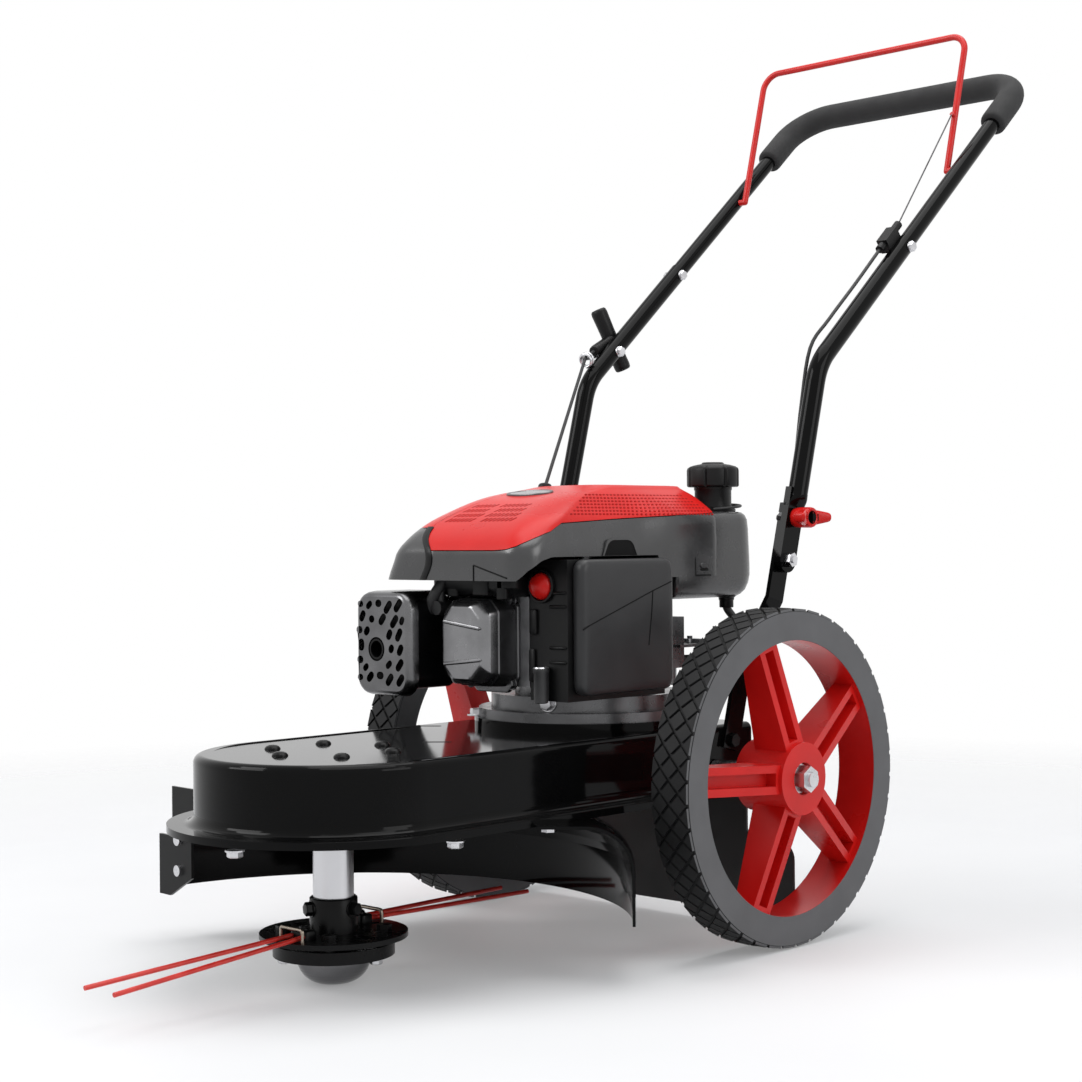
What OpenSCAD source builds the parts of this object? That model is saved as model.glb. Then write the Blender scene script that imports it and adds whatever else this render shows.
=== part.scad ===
// Wheeled string trimmer with a vertical-shaft engine, a belt drive and a folding handle.
// Origin: where the cutting axis meets the ground. +Y points back to the handle, +Z up.

/* [Wheels] */
// Outer diameter of each wheel
wheel_d = 356; // [320:1:390]
// Width of each tyre
tyre_w = 46; // [40:1:50]
// Height of the tyre section above the rim
tyre_h = 29; // [24:1:34]
// Distance between the middles of the two tyres
track = 434; // [430:1:460]
// Diameter of the wheel hub
hub_d = 76; // [64:1:90]
// How far the hub stands out of the tyre on the outer side
hub_proud = 12; // [6:1:20]
// Number of spokes in each rim
spoke_count = 5; // [3:1:8]
// Width of one spoke
spoke_w = 30; // [22:1:36]
// Wall of the rim barrel
rim_wall = 5; // [3:0.5:8]
// Diameter of the axle
axle_d = 16; // [12:1:20]
// Bare axle end past the hub face
axle_end = 13; // [10:1:20]

/* [Deck] */
// Width of the deck over its side walls
deck_w = 268; // [250:1:280]
// Height of the deck from the flange lip to the top
deck_h = 73; // [66:1:84]
// Sheet thickness of the deck
deck_t = 2.5; // [1.5:0.25:4]
// Rounding of the top edge of the deck
deck_edge_r = 8; // [5:0.5:12]
// Width of the rolled flange around the deck
flange_w = 26; // [20:1:32]
// Distance from the cutting axis back to the axle
axle_y = 427; // [415:1:450]
// Height of the axle above the flange lip
axle_rise = 25; // [20:1:32]
// Deck length behind the axle
deck_tail = 63; // [50:1:80]

/* [Guard and flap] */
// Outer radius of the debris guard about the cutting axis
guard_r = 295; // [290:1:310]
// Wall of the debris guard
guard_t = 3; // [2:0.25:4]
// Height of the lower edge of the guard above the ground
guard_low = 57; // [45:1:66]
// Rounding between the roof and the wall of the guard
guard_round = 45; // [30:1:55]
// Angle where the guard starts on the right side
guard_start = 38; // [30:1:50]
// Angle where the guard ends on the left side
guard_stop = 176; // [170:0.5:180]
// Height of the flap's lower edge above the ground
flap_low = 14; // [8:1:30]
// Height of the flap's outer corners
flap_corner = 98; // [80:1:120]

/* [Cutting head] */
// Outer diameter of the spindle tube
spindle_tube_d = 40; // [38:0.5:44]
// Diameter of the spindle shaft
shaft_d = 17; // [14:0.5:18]
// Outer diameter of the clamp collar
collar_d = 47; // [45:0.5:56]
// Diameter of the upper plate of the head
head_d = 145; // [130:1:160]
// Height of the upper plate above the ground
head_z = 45; // [42:0.5:50]
// Diameter of the glide dome
dome_d = 72; // [60:1:84]
// Radius that the line cuts
cut_r = 279; // [260:1:282]
// Diameter of the cutting line
line_d = 4; // [3:0.25:4.5]

/* [Drive] */
// Distance from the cutting axis back to the crankshaft
engine_y = 365; // [360:1:370]
// Outer diameter of the spindle pulley
spindle_pulley_d = 96; // [80:1:110]
// Outer diameter of the engine pulley
engine_pulley_d = 76; // [64:1:80]
// Width of the belt at its back
belt_w = 13; // [10:0.5:14]
// Height of the belt section
belt_h = 8; // [6:0.5:9]
// Diameter of the crankshaft
crank_d = 22; // [18:0.5:25]

/* [Engine] */
// Thickness of the plate under the engine
mount_t = 10; // [6:1:14]
// Diameter of the crankcase flange
case_d = 236; // [220:1:244]
// Height of the crankcase
case_h = 152; // [146:1:158]
// Distance from the crankshaft forward to the valve cover's face
cover_reach = 188; // [184:1:196]
// Width of the cowl at its lower edge
cowl_w = 204; // [196:1:212]
// Height of the cowl
cowl_h = 100; // [94:1:108]
// Wall of the cowl and of the starter cover
cowl_t = 3; // [2:0.25:4]
// Distance from the crankshaft forward to the nose of the cowl
cowl_nose = 200; // [196:1:210]
// Distance from the crankshaft back to the rear of the cowl
cowl_tail = 105; // [100:1:110]
// Distance of the filter cover's face from the middle plane
filter_x = 128; // [124:1:140]
// Height of the air filter
filter_h = 145; // [130:1:146]
// Length of the air filter
filter_l = 151; // [140:1:156]
// Length of the fuel tank behind the cowl
tank_l = 78; // [66:1:84]
// Height of the fuel tank
tank_h = 96; // [84:1:110]
// Diameter of the fuel cap
cap_d = 59; // [50:1:64]
// Width of the muffler
muffler_w = 82; // [74:1:84]
// Diameter of the primer bulb
primer_d = 28; // [22:1:32]

/* [Handle] */
// Outer diameter of the lower handle tubes
tube_d = 22; // [20:0.5:24]
// Wall of the handle tubes
tube_t = 1; // [0.8:0.1:1.2]
// Distance between the middles of the two handle tubes
handle_w = 350; // [344:1:354]
// Height of the handle pivot above the deck
pivot_rise = 179; // [170:1:195]
// Distance of the handle pivot behind the axle
pivot_back = 77; // [70:1:84]
// Lean of the lower tubes from upright
lower_tilt = 15.3; // [12:0.1:18]
// Lean of the upper tubes from upright
upper_tilt = 49.2; // [45:0.1:54]
// Length from the pivot to the bend
lower_len = 226; // [215:1:240]
// Length from the bend to the grip bar
upper_len = 592; // [560:1:620]
// Length from the bend to the end of the lower tube
joint_at = 235; // [225:1:260]
// Radius of the bend in the tubes
bend_r = 70; // [50:1:90]
// Radius of the two corners at the grip
corner_r = 52; // [45:1:60]
// Diameter of the foam grip
grip_d = 33; // [28:1:36]
// Length from the bend to the ends of the foam grip
grip_from = 490; // [470:1:510]
// Diameter of the bail wire
bail_d = 8; // [6:0.5:9]
// Length of the bail from its pivot to its bar
bail_len = 183; // [175:1:186]
// Lean of the bail from upright at rest
bail_tilt = 15.1; // [12:0.1:18]
// Length from the bend to the bail pivot
bail_at = 390; // [380:1:396]

/* [Clearances] */
// Radial play of shafts, pins and bushes
play = 0.05; // [0.02:0.01:0.1]
// Gap between faces of pieces that move past each other
gap = 0.3; // [0.2:0.05:0.6]

/* [Hidden] */
$fn = 64;

// Wheel and deck levels
wheel_r = wheel_d / 2;
axle_z = wheel_r;
axle_r = axle_d / 2;
tyre_x = track / 2;
tyre_in = tyre_x - tyre_w / 2;
tyre_out = tyre_x + tyre_w / 2;
rim_r = wheel_r - tyre_h;
hub_r = hub_d / 2;
hub_in = tyre_in - 4;
hub_out = tyre_out + hub_proud;
recess_depth = 8;
recess_r = axle_r + 9;
deck_low = axle_z - axle_rise;
deck_top = deck_low + deck_h;
deck_half = deck_w / 2;
deck_rear = axle_y + deck_tail;
flange_r = deck_half + flange_w;
flange_z = deck_low + 7;
flange_fillet = 10;
plate_t = 3;
plate_top = flange_z - deck_t;
bolt_r = 4;
hole_play = 0.2;
edge_bolts = 6;
edge_bolt_ring = 63;
edge_bolt_turn = 28;

// Head levels
shaft_r = shaft_d / 2;
tube_out_r = spindle_tube_d / 2;
bearing_r = tube_out_r - 2.5;
bearing_h = 10;
collar_r = collar_d / 2;
collar_top = head_z + 39;
collar_low = head_z - 4;
tube_low = collar_top - 6;
carrier_low = deck_top - deck_t - 17;
pulley_h = belt_w + 8;
pulley_z = carrier_low - 4 - pulley_h / 2;
head_r = head_d / 2;
lower_plate_r = head_r * 0.82;
lower_h = 12;
lower_low = head_z - 17;
dome_r = dome_d / 2;
dome_flat = 10;
pin_r = 5;
pin_low = lower_low - 11;
line_r = line_d / 2;
line_from = 44;
plate_high = head_z + 5;
line_z = plate_high + line_r + 2.2;
clip_from = line_from - 6;
clip_to = clip_from + 15;
clip_h = 9;
hoop_at = clip_to + 7;
hoop_r = 1.3;

// Engine levels
engine_low = deck_top + mount_t;
cowl_low = engine_low + case_h;
cowl_top = cowl_low + cowl_h;
crank_r = crank_d / 2;
case_r = case_d / 2;
case_body_r = 78;
case_step = 26;
head_y = engine_y - cover_reach;
cover_depth = 45;
fin_y = head_y + cover_depth + 4;
fin_half = 50;
fin_count = 7;
fin_pitch = 7;
fin_back = fin_y + 50;
bore_r = 30;
fin_low = engine_low + case_step + 14;
fin_high = cowl_low - 18;
bore_z = (fin_low + fin_high) / 2;
filter_y = engine_y - 148;
filter_low = engine_low + case_step + 2;
filter_in = 82;
filter_back = filter_x - 15;
filter_front_in = 60;
primer_r = primer_d / 2;
primer_at = [78, filter_y, cowl_low - 6];
carb_low = filter_low + 26;
lever_z = carb_low + 25;
hose_end_z = carb_low + 8;
lever_at = [90, filter_y + filter_l + 70];
lever_arm = 20;
stop_y = lever_at[1] + 24;
stop_at = [lever_at[0] + lever_arm, stop_y, lever_z + 9];
muffler_in = -58;
muffler_out = muffler_in - muffler_w;
muffler_front = head_y - 9;
muffler_back = muffler_front + 54;
muffler_low = fin_low - 4;
muffler_high = fin_high;
shield_y = muffler_front - 12;
shield_t = 3;
outlet_r = 11;
outlet_at = [muffler_in - 0.62 * muffler_w, muffler_front, muffler_low + 42];
tank_y = engine_y + cowl_tail;
tank_low = cowl_top - 29 - tank_h;
tank_left = -40;
tank_right = 108;
tank_corner = tank_l * 0.44;
neck_at = [67, tank_y + tank_l / 2];
neck_top = cowl_top - 1;
neck_r = 21;
flywheel_z = cowl_low + 26;
flywheel_h = 24;
flywheel_r = case_body_r + 6;
reel_z = cowl_low + 58;
reel_h = 14;
reel_r = 50;
post_r = 6;

// Cowl sections: height above its lower edge, front, rear, half width and corner radius
cowl_half = cowl_w / 2;
cowl_levels = [
    [0, -cowl_nose, cowl_tail, cowl_half, 22],
    [0.32 * cowl_h, -cowl_nose, cowl_tail, cowl_half, 28],
    [0.62 * cowl_h, 35 - cowl_nose, cowl_tail, cowl_half - 8, 34],
    [0.92 * cowl_h, 102 - cowl_nose, cowl_tail - 4, cowl_half - 36, 26],
    [cowl_h, 120 - cowl_nose, cowl_tail - 14, cowl_half - 52, 22]
];
// Line where the starter cover meets the shroud, from the nose to the rear
split_line = [
    [-cowl_nose - 20, 0.31 * cowl_h], [25 - cowl_nose, 0.31 * cowl_h], [50 - cowl_nose, 0.54 * cowl_h],
    [135 - cowl_nose, 0.62 * cowl_h], [cowl_tail + 10, 0.74 * cowl_h]
];
split_gap = 0.4;

// Handle places
tube_x = handle_w / 2;
tube_r = tube_d / 2;
upper_r = tube_r - tube_t - play;
pivot_y = axle_y + pivot_back;
pivot_z = deck_top + pivot_rise;
bend_angle = upper_tilt - lower_tilt;
bend_run = bend_r * tan(bend_angle / 2);
flat_t = 8;
flat_x = tube_x - 7;
flat_half = 14;
flat_len = 80;
bracket_t = 5;
bracket_x = flat_x - gap - bracket_t;
bracket_half = 13;
knob_at = 48;
stud_r = 4;
bail_x = tube_x - 18;
bail_r = bail_d / 2;
bail_corner = 22;
bail_eye_at = 73;
guide_at = [-tube_x - 3, -24, 21];
grip_at = [-tube_x - 22, 0, 90];
guide_bolt_at = 62;
tube_bolt_at = joint_at - 10;
adjuster_at = [tube_x - 9, -tube_r - 8, joint_at - 16];
rope_r = 2;
rope_from = [-40, engine_y - 20, cowl_top];
cable_r = 2.5;
wire_r = 0.9;
rope_stop = tube_x - tube_r - 4;
rope_start = tube_x - tube_r - 1;

// Route of the brake cable on the handle, from the adjuster down behind the tube to the pivot
cable_in = tube_x - 16;
upper_route = [
    on_bend(adjuster_at - [0, 0, 24.2]), on_bend([tube_x - 9, -18, 130]), on_bend([tube_x - 10, -17.5, 62]),
    on_bend([cable_in, -10, 18]), on_pivot([cable_in, 2, lower_len - 46]), on_pivot([cable_in, 6, 130]),
    on_pivot([cable_in, 8, 92]), on_pivot([cable_in - 1, 13, 66]), on_pivot([cable_in - 1, 16, 34])
];
// Route of the brake cable from the pivot down to the brake lever
lower_route = [
    on_pivot([cable_in - 1, 17, -6]), on_pivot([cable_in - 3, 15, -34]), on_pivot([cable_in - 11, 12, -64]),
    stop_at + [22, 26, 12], stop_at + [4, 24, 2], stop_at + [0, 14, 0],
    stop_at + [0, 5, 0], stop_at - [0, 4, 0]
];
// Route of the fuel hose from the tank round to the carburettor
hose_route = [
    [86, tank_y + 38, tank_low - 4.2], [86, tank_y + 38, tank_low - 9], [86.6, tank_y + 39, tank_low - 14],
    [91, tank_y + 48, tank_low - 29], [97, tank_y + 42, tank_low - 50], [100, tank_y + 6, hose_end_z + 4],
    [100, tank_y - 40, hose_end_z], [98, filter_y + filter_l + 47, hose_end_z],
    [98, filter_y + filter_l + 34.2, hose_end_z]
];
hose_r = 4.5;

function arc(cx, cy, r, from, to, steps = 8) =
    [for (i = [0:steps]) let (a = from + (to - from) * i / steps) [cx + r * cos(a), cy + r * sin(a)]];
function reversed(list) = [for (i = [len(list) - 1:-1:0]) list[i]];
function unit(v) = v / norm(v);
function mix(a, b, t) = a + (b - a) * t;
// Point of the handle's upper run: x, offset towards the back and length from the bend
function turn_x(p, angle) =
    [p[0], p[1] * cos(angle) + p[2] * sin(angle), p[2] * cos(angle) - p[1] * sin(angle)];
function on_pivot(p) = [0, pivot_y, pivot_z] + turn_x(p, lower_tilt);
function on_bend(p) = on_pivot([0, 0, lower_len]) + turn_x(p, upper_tilt);
function on_bail(p) = on_bend([0, 0, bail_at]) + turn_x(p, bail_tilt);

// Smooth curve through a list of points
function curve_point(p, i, t) =
    let (
        n = len(p) - 1,
        a = p[max(i - 1, 0)],
        b = p[i],
        c = p[min(i + 1, n)],
        d = p[min(i + 2, n)]
    )
    0.5 * (2 * b + (c - a) * t + (2 * a - 5 * b + 4 * c - d) * t * t + (3 * b - a - 3 * c + d) * t * t * t);
function curve(p, steps = 4) =
    concat([for (i = [0:len(p) - 2]) for (k = [0:steps - 1]) curve_point(p, i, k / steps)], [p[len(p) - 1]]);
function heading(p, i) = unit(p[min(i + 1, len(p) - 1)] - p[max(i - 1, 0)]);
// Side vectors carried along the curve without twist
function carried(p, i, side) =
    i >= len(p) ? [] :
    let (h = heading(p, i), s = unit(side - h * (h * side))) concat([s], carried(p, i + 1, s));

module tube_along(points, r, sides = 8) {
    start = heading(points, 0);
    side = abs(start[0]) < 0.9 ? [1, 0, 0] : [0, 1, 0];
    frames = carried(points, 0, side);
    rings = len(points);
    verts = [for (i = [0:rings - 1]) for (k = [0:sides - 1])
        let (h = heading(points, i), a = 360 * k / sides)
        points[i] + r * (cos(a) * frames[i] + sin(a) * cross(h, frames[i]))];
    walls = [for (i = [0:rings - 2]) for (k = [0:sides - 1])
        let (a = i * sides + k, b = i * sides + (k + 1) % sides)
        each [[a, a + sides, b], [b, a + sides, b + sides]]];
    low_end = [for (k = [1:sides - 2]) [0, k, k + 1]];
    high = (rings - 1) * sides;
    high_end = [for (k = [1:sides - 2]) [high, high + k + 1, high + k]];
    polyhedron(verts, concat(walls, low_end, high_end));
}

module rod(a, b, r) {
    d = b - a;
    translate(a)
        rotate([0, acos(d[2] / norm(d)), atan2(d[1], d[0])])
            cylinder(h = norm(d), r = r);
}
module along_x(from, to) {
    translate([from, 0, 0]) rotate([0, 90, 0]) linear_extrude(to - from) children();
}
module along_y(from, to) {
    translate([0, to, 0]) rotate([90, 0, 0]) linear_extrude(to - from) children();
}
// Extrudes a side view, drawn as (y, z), across the middle plane
module across(from, to) {
    translate([from, 0, 0]) rotate([90, 0, 90]) linear_extrude(to - from) children();
}
module rounded(w, h, r) {
    square([w - 2 * r, h], center = true);
    square([w, h - 2 * r], center = true);
    for (x = [-1, 1], y = [-1, 1]) translate([x * (w / 2 - r), y * (h / 2 - r)]) circle(r);
}
module box(low, high) {
    translate(low) cube(high - low);
}
module on_side(side) {
    if (side > 0) children();
    else mirror([1, 0, 0]) children();
}
module at_axle() {
    translate([0, axle_y, axle_z]) children();
}
module at_engine(z = 0) {
    translate([0, engine_y, z]) children();
}
module at_pivot() {
    translate([0, pivot_y, pivot_z]) rotate([-lower_tilt, 0, 0]) children();
}
module at_bend() {
    at_pivot() translate([0, 0, lower_len]) rotate([-bend_angle, 0, 0]) children();
}
module at_bail() {
    at_bend() translate([0, 0, bail_at]) rotate([upper_tilt - bail_tilt, 0, 0]) children();
}
module hexagon(flats) {
    circle(r = flats / sqrt(3), $fn = 6);
}

// Deck
module deck_section() {
    polygon(concat(
        [[0, deck_top]],
        arc(deck_half - deck_edge_r, deck_top - deck_edge_r, deck_edge_r, 90, 0),
        arc(deck_half + flange_fillet, flange_z + flange_fillet, flange_fillet, 180, 270),
        [[flange_r, flange_z], [flange_r, deck_low], [flange_r - deck_t, deck_low]],
        [[flange_r - deck_t, plate_top]],
        arc(deck_half + flange_fillet, flange_z + flange_fillet, flange_fillet + deck_t, 270, 180),
        arc(deck_half - deck_edge_r, deck_top - deck_edge_r, deck_edge_r - deck_t, 0, 90),
        [[0, deck_top - deck_t]]
    ));
}
module edge_bolt_places() {
    for (k = [0:edge_bolts - 1]) rotate(edge_bolt_turn + k * 360 / edge_bolts)
        translate([edge_bolt_ring, 0]) children();
}
bracket_bolt_z = -203;
module bracket_bolt_places() {
    for (side = [-1, 1]) on_side(side) at_pivot() translate([0, 0, bracket_bolt_z]) children();
}
module deck() {
    color("black") difference() {
        union() {
            rotate(180) rotate_extrude(angle = 180) deck_section();
            along_y(0, deck_rear) {
                deck_section();
                mirror([1, 0]) deck_section();
            }
            box([-deck_half, deck_rear - deck_t, plate_top], [deck_half, deck_rear, deck_top - deck_edge_r]);
        }
        edge_bolt_places() cylinder(h = deck_top + 1, r = bolt_r + hole_play);
        at_engine() cylinder(h = deck_top + 1, r = crank_r + 6);
        at_axle() along_x(-flange_r, flange_r) circle(axle_r + play);
        bracket_bolt_places() along_x(deck_half - 10, deck_half + 10) circle(bolt_r + hole_play);
    }
}
module frame_plate() {
    half = flange_r - deck_t - hole_play;
    color("dimgray") translate([0, 0, plate_top - plate_t]) linear_extrude(plate_t) difference() {
        union() {
            circle(half);
            translate([-half, 0]) square([2 * half, deck_rear - deck_t - hole_play]);
        }
        circle(tube_out_r + hole_play);
    }
}
module engine_plate() {
    color("black") translate([0, engine_y, deck_top]) linear_extrude(mount_t) difference() {
        circle(case_r + 5);
        circle(crank_r + 6);
    }
}

// Guard and flap
guard_roof_in = 120;
module debris_guard() {
    round_r = guard_r - guard_round;
    color("black") rotate(guard_start) rotate_extrude(angle = guard_stop - guard_start) polygon(concat(
        [[guard_roof_in, deck_low]],
        arc(round_r, deck_low - guard_round, guard_round, 90, 0),
        [[guard_r, guard_low], [guard_r - guard_t, guard_low]],
        arc(round_r, deck_low - guard_round, guard_round - guard_t, 0, 90),
        [[guard_roof_in, deck_low - guard_t]]
    ));
}
strap_out = guard_r - 4;
strap_in = strap_out - 39;
strap_top = guard_low + 60;
module guard_bracket() {
    color("black") rotate(guard_stop - 180) {
        box([-guard_r + 10, -guard_t, strap_top], [-flange_r - 1, 0, flange_z + 6]);
        along_y(-2 * guard_t, -guard_t) polygon([
            [-strap_out, guard_low - 3], [-strap_in - 18, guard_low - 3], [-strap_in, guard_low + 9],
            [-strap_in, strap_top + 8], [-strap_out, strap_top + 8]
        ]);
    }
}
module guard_fasteners() {
    color("silver") {
        rotate(guard_stop - 180) for (z = [guard_low + 20, guard_low + 53])
            translate([-strap_out + 20, 0, z]) along_y(-2 * guard_t - 4, -2 * guard_t) circle(6);
        for (x = [-1, 1], y = [150, 195]) translate([x * (flange_r - 12), y, deck_low - guard_t - 6])
            linear_extrude(6) hexagon(13);
    }
}
module rear_flap() {
    half = tyre_in - 4;
    corner = 20;
    neck = deck_half - 8;
    right = concat(
        [[half, flap_low]], arc(half - corner, flap_corner - corner, corner, 0, 90),
        [[neck + 8, flap_corner], [neck, flap_corner + 8], [neck, deck_top - deck_edge_r - 20]]
    );
    left = [for (p = reversed(right)) [-p[0], p[1]]];
    color("darkslategray") along_y(deck_rear, deck_rear + 3) polygon(concat(right, left));
}

// Axle and wheels
module axle() {
    color("silver") at_axle() along_x(-hub_out - axle_end, hub_out + axle_end) circle(axle_r);
}
module axle_hardware() {
    recess_x = hub_out - recess_depth;
    color("silver") for (side = [-1, 1]) on_side(side) at_axle() {
        along_x(deck_half + 1, hub_in - gap) difference() {
            circle(axle_r + 4);
            circle(axle_r + play);
        }
        along_x(recess_x + gap, recess_x + gap + 2.5) difference() {
            circle(recess_r - 1.5);
            circle(axle_r + play);
        }
        along_x(recess_x + gap + 2.5, hub_out + axle_end - 4) difference() {
            hexagon(axle_d + 8);
            circle(axle_r + play);
        }
    }
}
near_spoke_turn = 15;
far_spoke_turn = 22;
module spoke() {
    root = hub_r - 6;
    tip = rim_r - rim_wall / 2;
    groove_w = spoke_w * 0.46;
    groove_d = 14;
    difference() {
        rotate([90, 0, 0]) linear_extrude(spoke_w, center = true) polygon([
            [tyre_in + 12, root], [hub_out - 4, root], [tyre_out - 6, tip], [tyre_in + 16, tip]
        ]);
        rotate([90, 0, 0]) linear_extrude(groove_w, center = true) polygon([
            [hub_out - 4 - groove_d, hub_r + 3], [hub_out + 9, hub_r + 3],
            [tyre_out + 9, rim_r - rim_wall - 6], [tyre_out - 6 - groove_d, rim_r - rim_wall - 6]
        ]);
    }
}
module rim(turn) {
    color("crimson") at_axle() difference() {
        union() {
            along_x(tyre_in, tyre_out) difference() {
                circle(rim_r);
                circle(rim_r - rim_wall);
            }
            along_x(hub_in, hub_out) circle(hub_r);
            for (k = [0:spoke_count - 1]) rotate([turn + k * 360 / spoke_count, 0, 0])
                spoke();
        }
        along_x(hub_in - 1, hub_out + 1) circle(axle_r + play);
        along_x(hub_out - recess_depth, hub_out + 1) circle(recess_r);
    }
}
module tyre() {
    shoulder = 9;
    half = tyre_w / 2;
    color("dimgray") at_axle() translate([tyre_x, 0, 0]) rotate([0, 90, 0])
        rotate_extrude($fn = 128) polygon(concat(
        [[rim_r + play, -half]],
        arc(wheel_r - shoulder, -half + shoulder, shoulder, -90, 0),
        arc(wheel_r - shoulder, half - shoulder, shoulder, 0, 90),
        [[rim_r + play, half]]
    ));
}
module rim_right() { rim(near_spoke_turn); }
module rim_left() { on_side(-1) rim(far_spoke_turn); }
module tyre_right() { tyre(); }
module tyre_left() { on_side(-1) tyre(); }

// Handle brackets and their bolts
leg_low = -213;
wheel_clear = 6;
crank_high = -(pivot_z - wheel_d - wheel_clear) / cos(lower_tilt);
leg_high = crank_high - 75;
module handle_brackets() {
    slot_r = stud_r + 0.6;
    color("black") for (side = [-1, 1]) on_side(side) at_pivot() difference() {
        rotate([90, 0, 0]) linear_extrude(2 * bracket_half, center = true) polygon([
            [deck_half, leg_low], [deck_half + bracket_t, leg_low], [deck_half + bracket_t, leg_high],
            [bracket_x + bracket_t, crank_high], [bracket_x + bracket_t, knob_at + 14],
            [bracket_x, knob_at + 14], [bracket_x, crank_high + 1.5], [deck_half, leg_high + 1.5]
        ]);
        along_x(bracket_x - 1, bracket_x + bracket_t + 1) circle(bolt_r + play);
        translate([0, 0, knob_at]) along_x(bracket_x - 1, bracket_x + bracket_t + 1) circle(slot_r);
        intersection() {
            along_x(bracket_x - 1, bracket_x + bracket_t + 1) difference() {
                circle(knob_at + slot_r);
                circle(knob_at - slot_r);
            }
            box([bracket_x - 1, -2 * knob_at, 0], [bracket_x + bracket_t + 1, 0, 2 * knob_at]);
        }
        translate([0, 0, bracket_bolt_z])
            along_x(deck_half - 1, deck_half + bracket_t + 1) circle(bolt_r + hole_play);
    }
}
module deck_bolts() {
    color("dimgray") {
        edge_bolt_places() {
            translate([0, 0, deck_top]) rotate_extrude() polygon([
                [0, 0], [8, 0], [7.6, 1.4], [6, 3], [3.6, 4], [0, 4.4]
            ]);
            translate([0, 0, deck_top - deck_t - 4]) cylinder(h = deck_t + 4, r = bolt_r);
        }
        bracket_bolt_places() {
            along_x(deck_half + bracket_t, deck_half + bracket_t + 5) hexagon(13);
            along_x(deck_half - 8, deck_half + bracket_t) circle(bolt_r);
        }
    }
}
module pivot_bolts() {
    head_x = bracket_x - 5;
    nut_x = flat_x + flat_t + gap;
    color("silver") for (side = [-1, 1]) on_side(side) at_pivot() {
        along_x(head_x, bracket_x) hexagon(13);
        along_x(bracket_x, nut_x + 9) circle(bolt_r);
        along_x(nut_x, nut_x + 7) hexagon(14);
    }
}

// Spindle and cutting head
module spindle_housing() {
    color("lightgray") {
        difference() {
            union() {
                translate([0, 0, tube_low]) cylinder(h = plate_top + 14 - tube_low, r = tube_out_r);
                translate([0, 0, plate_top]) cylinder(h = 6, r = tube_out_r + 28);
            }
            translate([0, 0, tube_low - 1]) cylinder(h = plate_top + 16 - tube_low, r = bearing_r + play);
        }
        difference() {
            union() {
                translate([0, 0, deck_top - deck_t - 4]) cylinder(h = 4, r = edge_bolt_ring + 13);
                translate([0, 0, carrier_low]) cylinder(h = 17, r = bearing_r + 6);
            }
            translate([0, 0, carrier_low - 1]) cylinder(h = bearing_h + 2, r = bearing_r + play);
            translate([0, 0, carrier_low]) cylinder(h = 15, r = shaft_r + 2);
            edge_bolt_places() translate([0, 0, deck_top - deck_t - 5])
                cylinder(h = 6, r = bolt_r + hole_play);
        }
    }
}
module spindle_bearings() {
    color("silver") for (z = [tube_low + 2, carrier_low + 0.5]) translate([0, 0, z]) difference() {
        cylinder(h = bearing_h, r = bearing_r);
        translate([0, 0, -1]) cylinder(h = bearing_h + 2, r = shaft_r + play);
    }
}
module spindle_shaft() {
    color("silver") translate([0, 0, collar_low]) cylinder(h = carrier_low + 13 - collar_low, r = shaft_r);
}
module pulley(d, bore) {
    r = d / 2;
    floor_r = r - belt_h - 2;
    half_groove = belt_w / 2 + gap;
    color("gray") translate([0, 0, pulley_z]) rotate_extrude() polygon([
        [bore, -pulley_h / 2], [r, -pulley_h / 2], [r, -half_groove], [floor_r, -half_groove],
        [floor_r, half_groove], [r, half_groove], [r, pulley_h / 2], [bore, pulley_h / 2]
    ]);
}
module spindle_pulley() { pulley(spindle_pulley_d, shaft_r + play); }
module engine_pulley() { at_engine() pulley(engine_pulley_d, crank_r + play); }
// Closed path round both pulleys
function belt_loop(r1, r2) =
    let (a = acos((r1 - r2) / engine_y))
    concat(arc(0, 0, r1, 90 + a, 450 - a, 24), arc(0, engine_y, r2, 90 - a, 90 + a, 24));
module drive_belt() {
    back = [spindle_pulley_d / 2 - 1, engine_pulley_d / 2 - 1];
    color("dimgray") translate([0, 0, pulley_z - belt_w / 2]) linear_extrude(belt_w) difference() {
        polygon(belt_loop(back[0], back[1]));
        polygon(belt_loop(back[0] - belt_h, back[1] - belt_h));
    }
}
module clamp_collar() {
    color("silver") difference() {
        union() {
            translate([0, 0, collar_low]) cylinder(h = collar_top - collar_low, r = collar_r);
            for (a = [-90, 10]) rotate(a) translate([0, 0, head_z + 20])
                along_x(collar_r - 2, collar_r + 6) hexagon(11);
        }
        translate([0, 0, collar_low - 1]) cylinder(h = collar_top, r = shaft_r + play);
        translate([0, 0, tube_low - 2]) cylinder(h = collar_top, r = tube_out_r + 0.5);
    }
}
post_ring = head_r * 0.68;
module head_plates() {
    color("silver") difference() {
        union() {
            translate([0, 0, head_z]) cylinder(h = plate_high - head_z, r = head_r);
            translate([0, 0, lower_low]) cylinder(h = lower_h, r = lower_plate_r);
            for (k = [0:3]) rotate(45 + 90 * k) translate([post_ring, 0, lower_low + lower_h]) {
                cylinder(h = head_z - lower_low - lower_h, r = 7);
                translate([0, 0, plate_high - 1 - lower_low - lower_h]) linear_extrude(7) hexagon(13);
            }
            translate([0, 0, pin_low]) cylinder(h = lower_low - pin_low, r = pin_r);
            translate([0, 0, pin_low]) cylinder(h = 3, r = pin_r + 2);
        }
        translate([0, 0, collar_low]) cylinder(h = collar_top, r = collar_r + play);
        for (k = [0:3]) rotate(90 * k) translate([head_r * 0.62, 0, head_z - 1])
            linear_extrude(7) rounded(26, 9, 4.4);
    }
}
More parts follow.
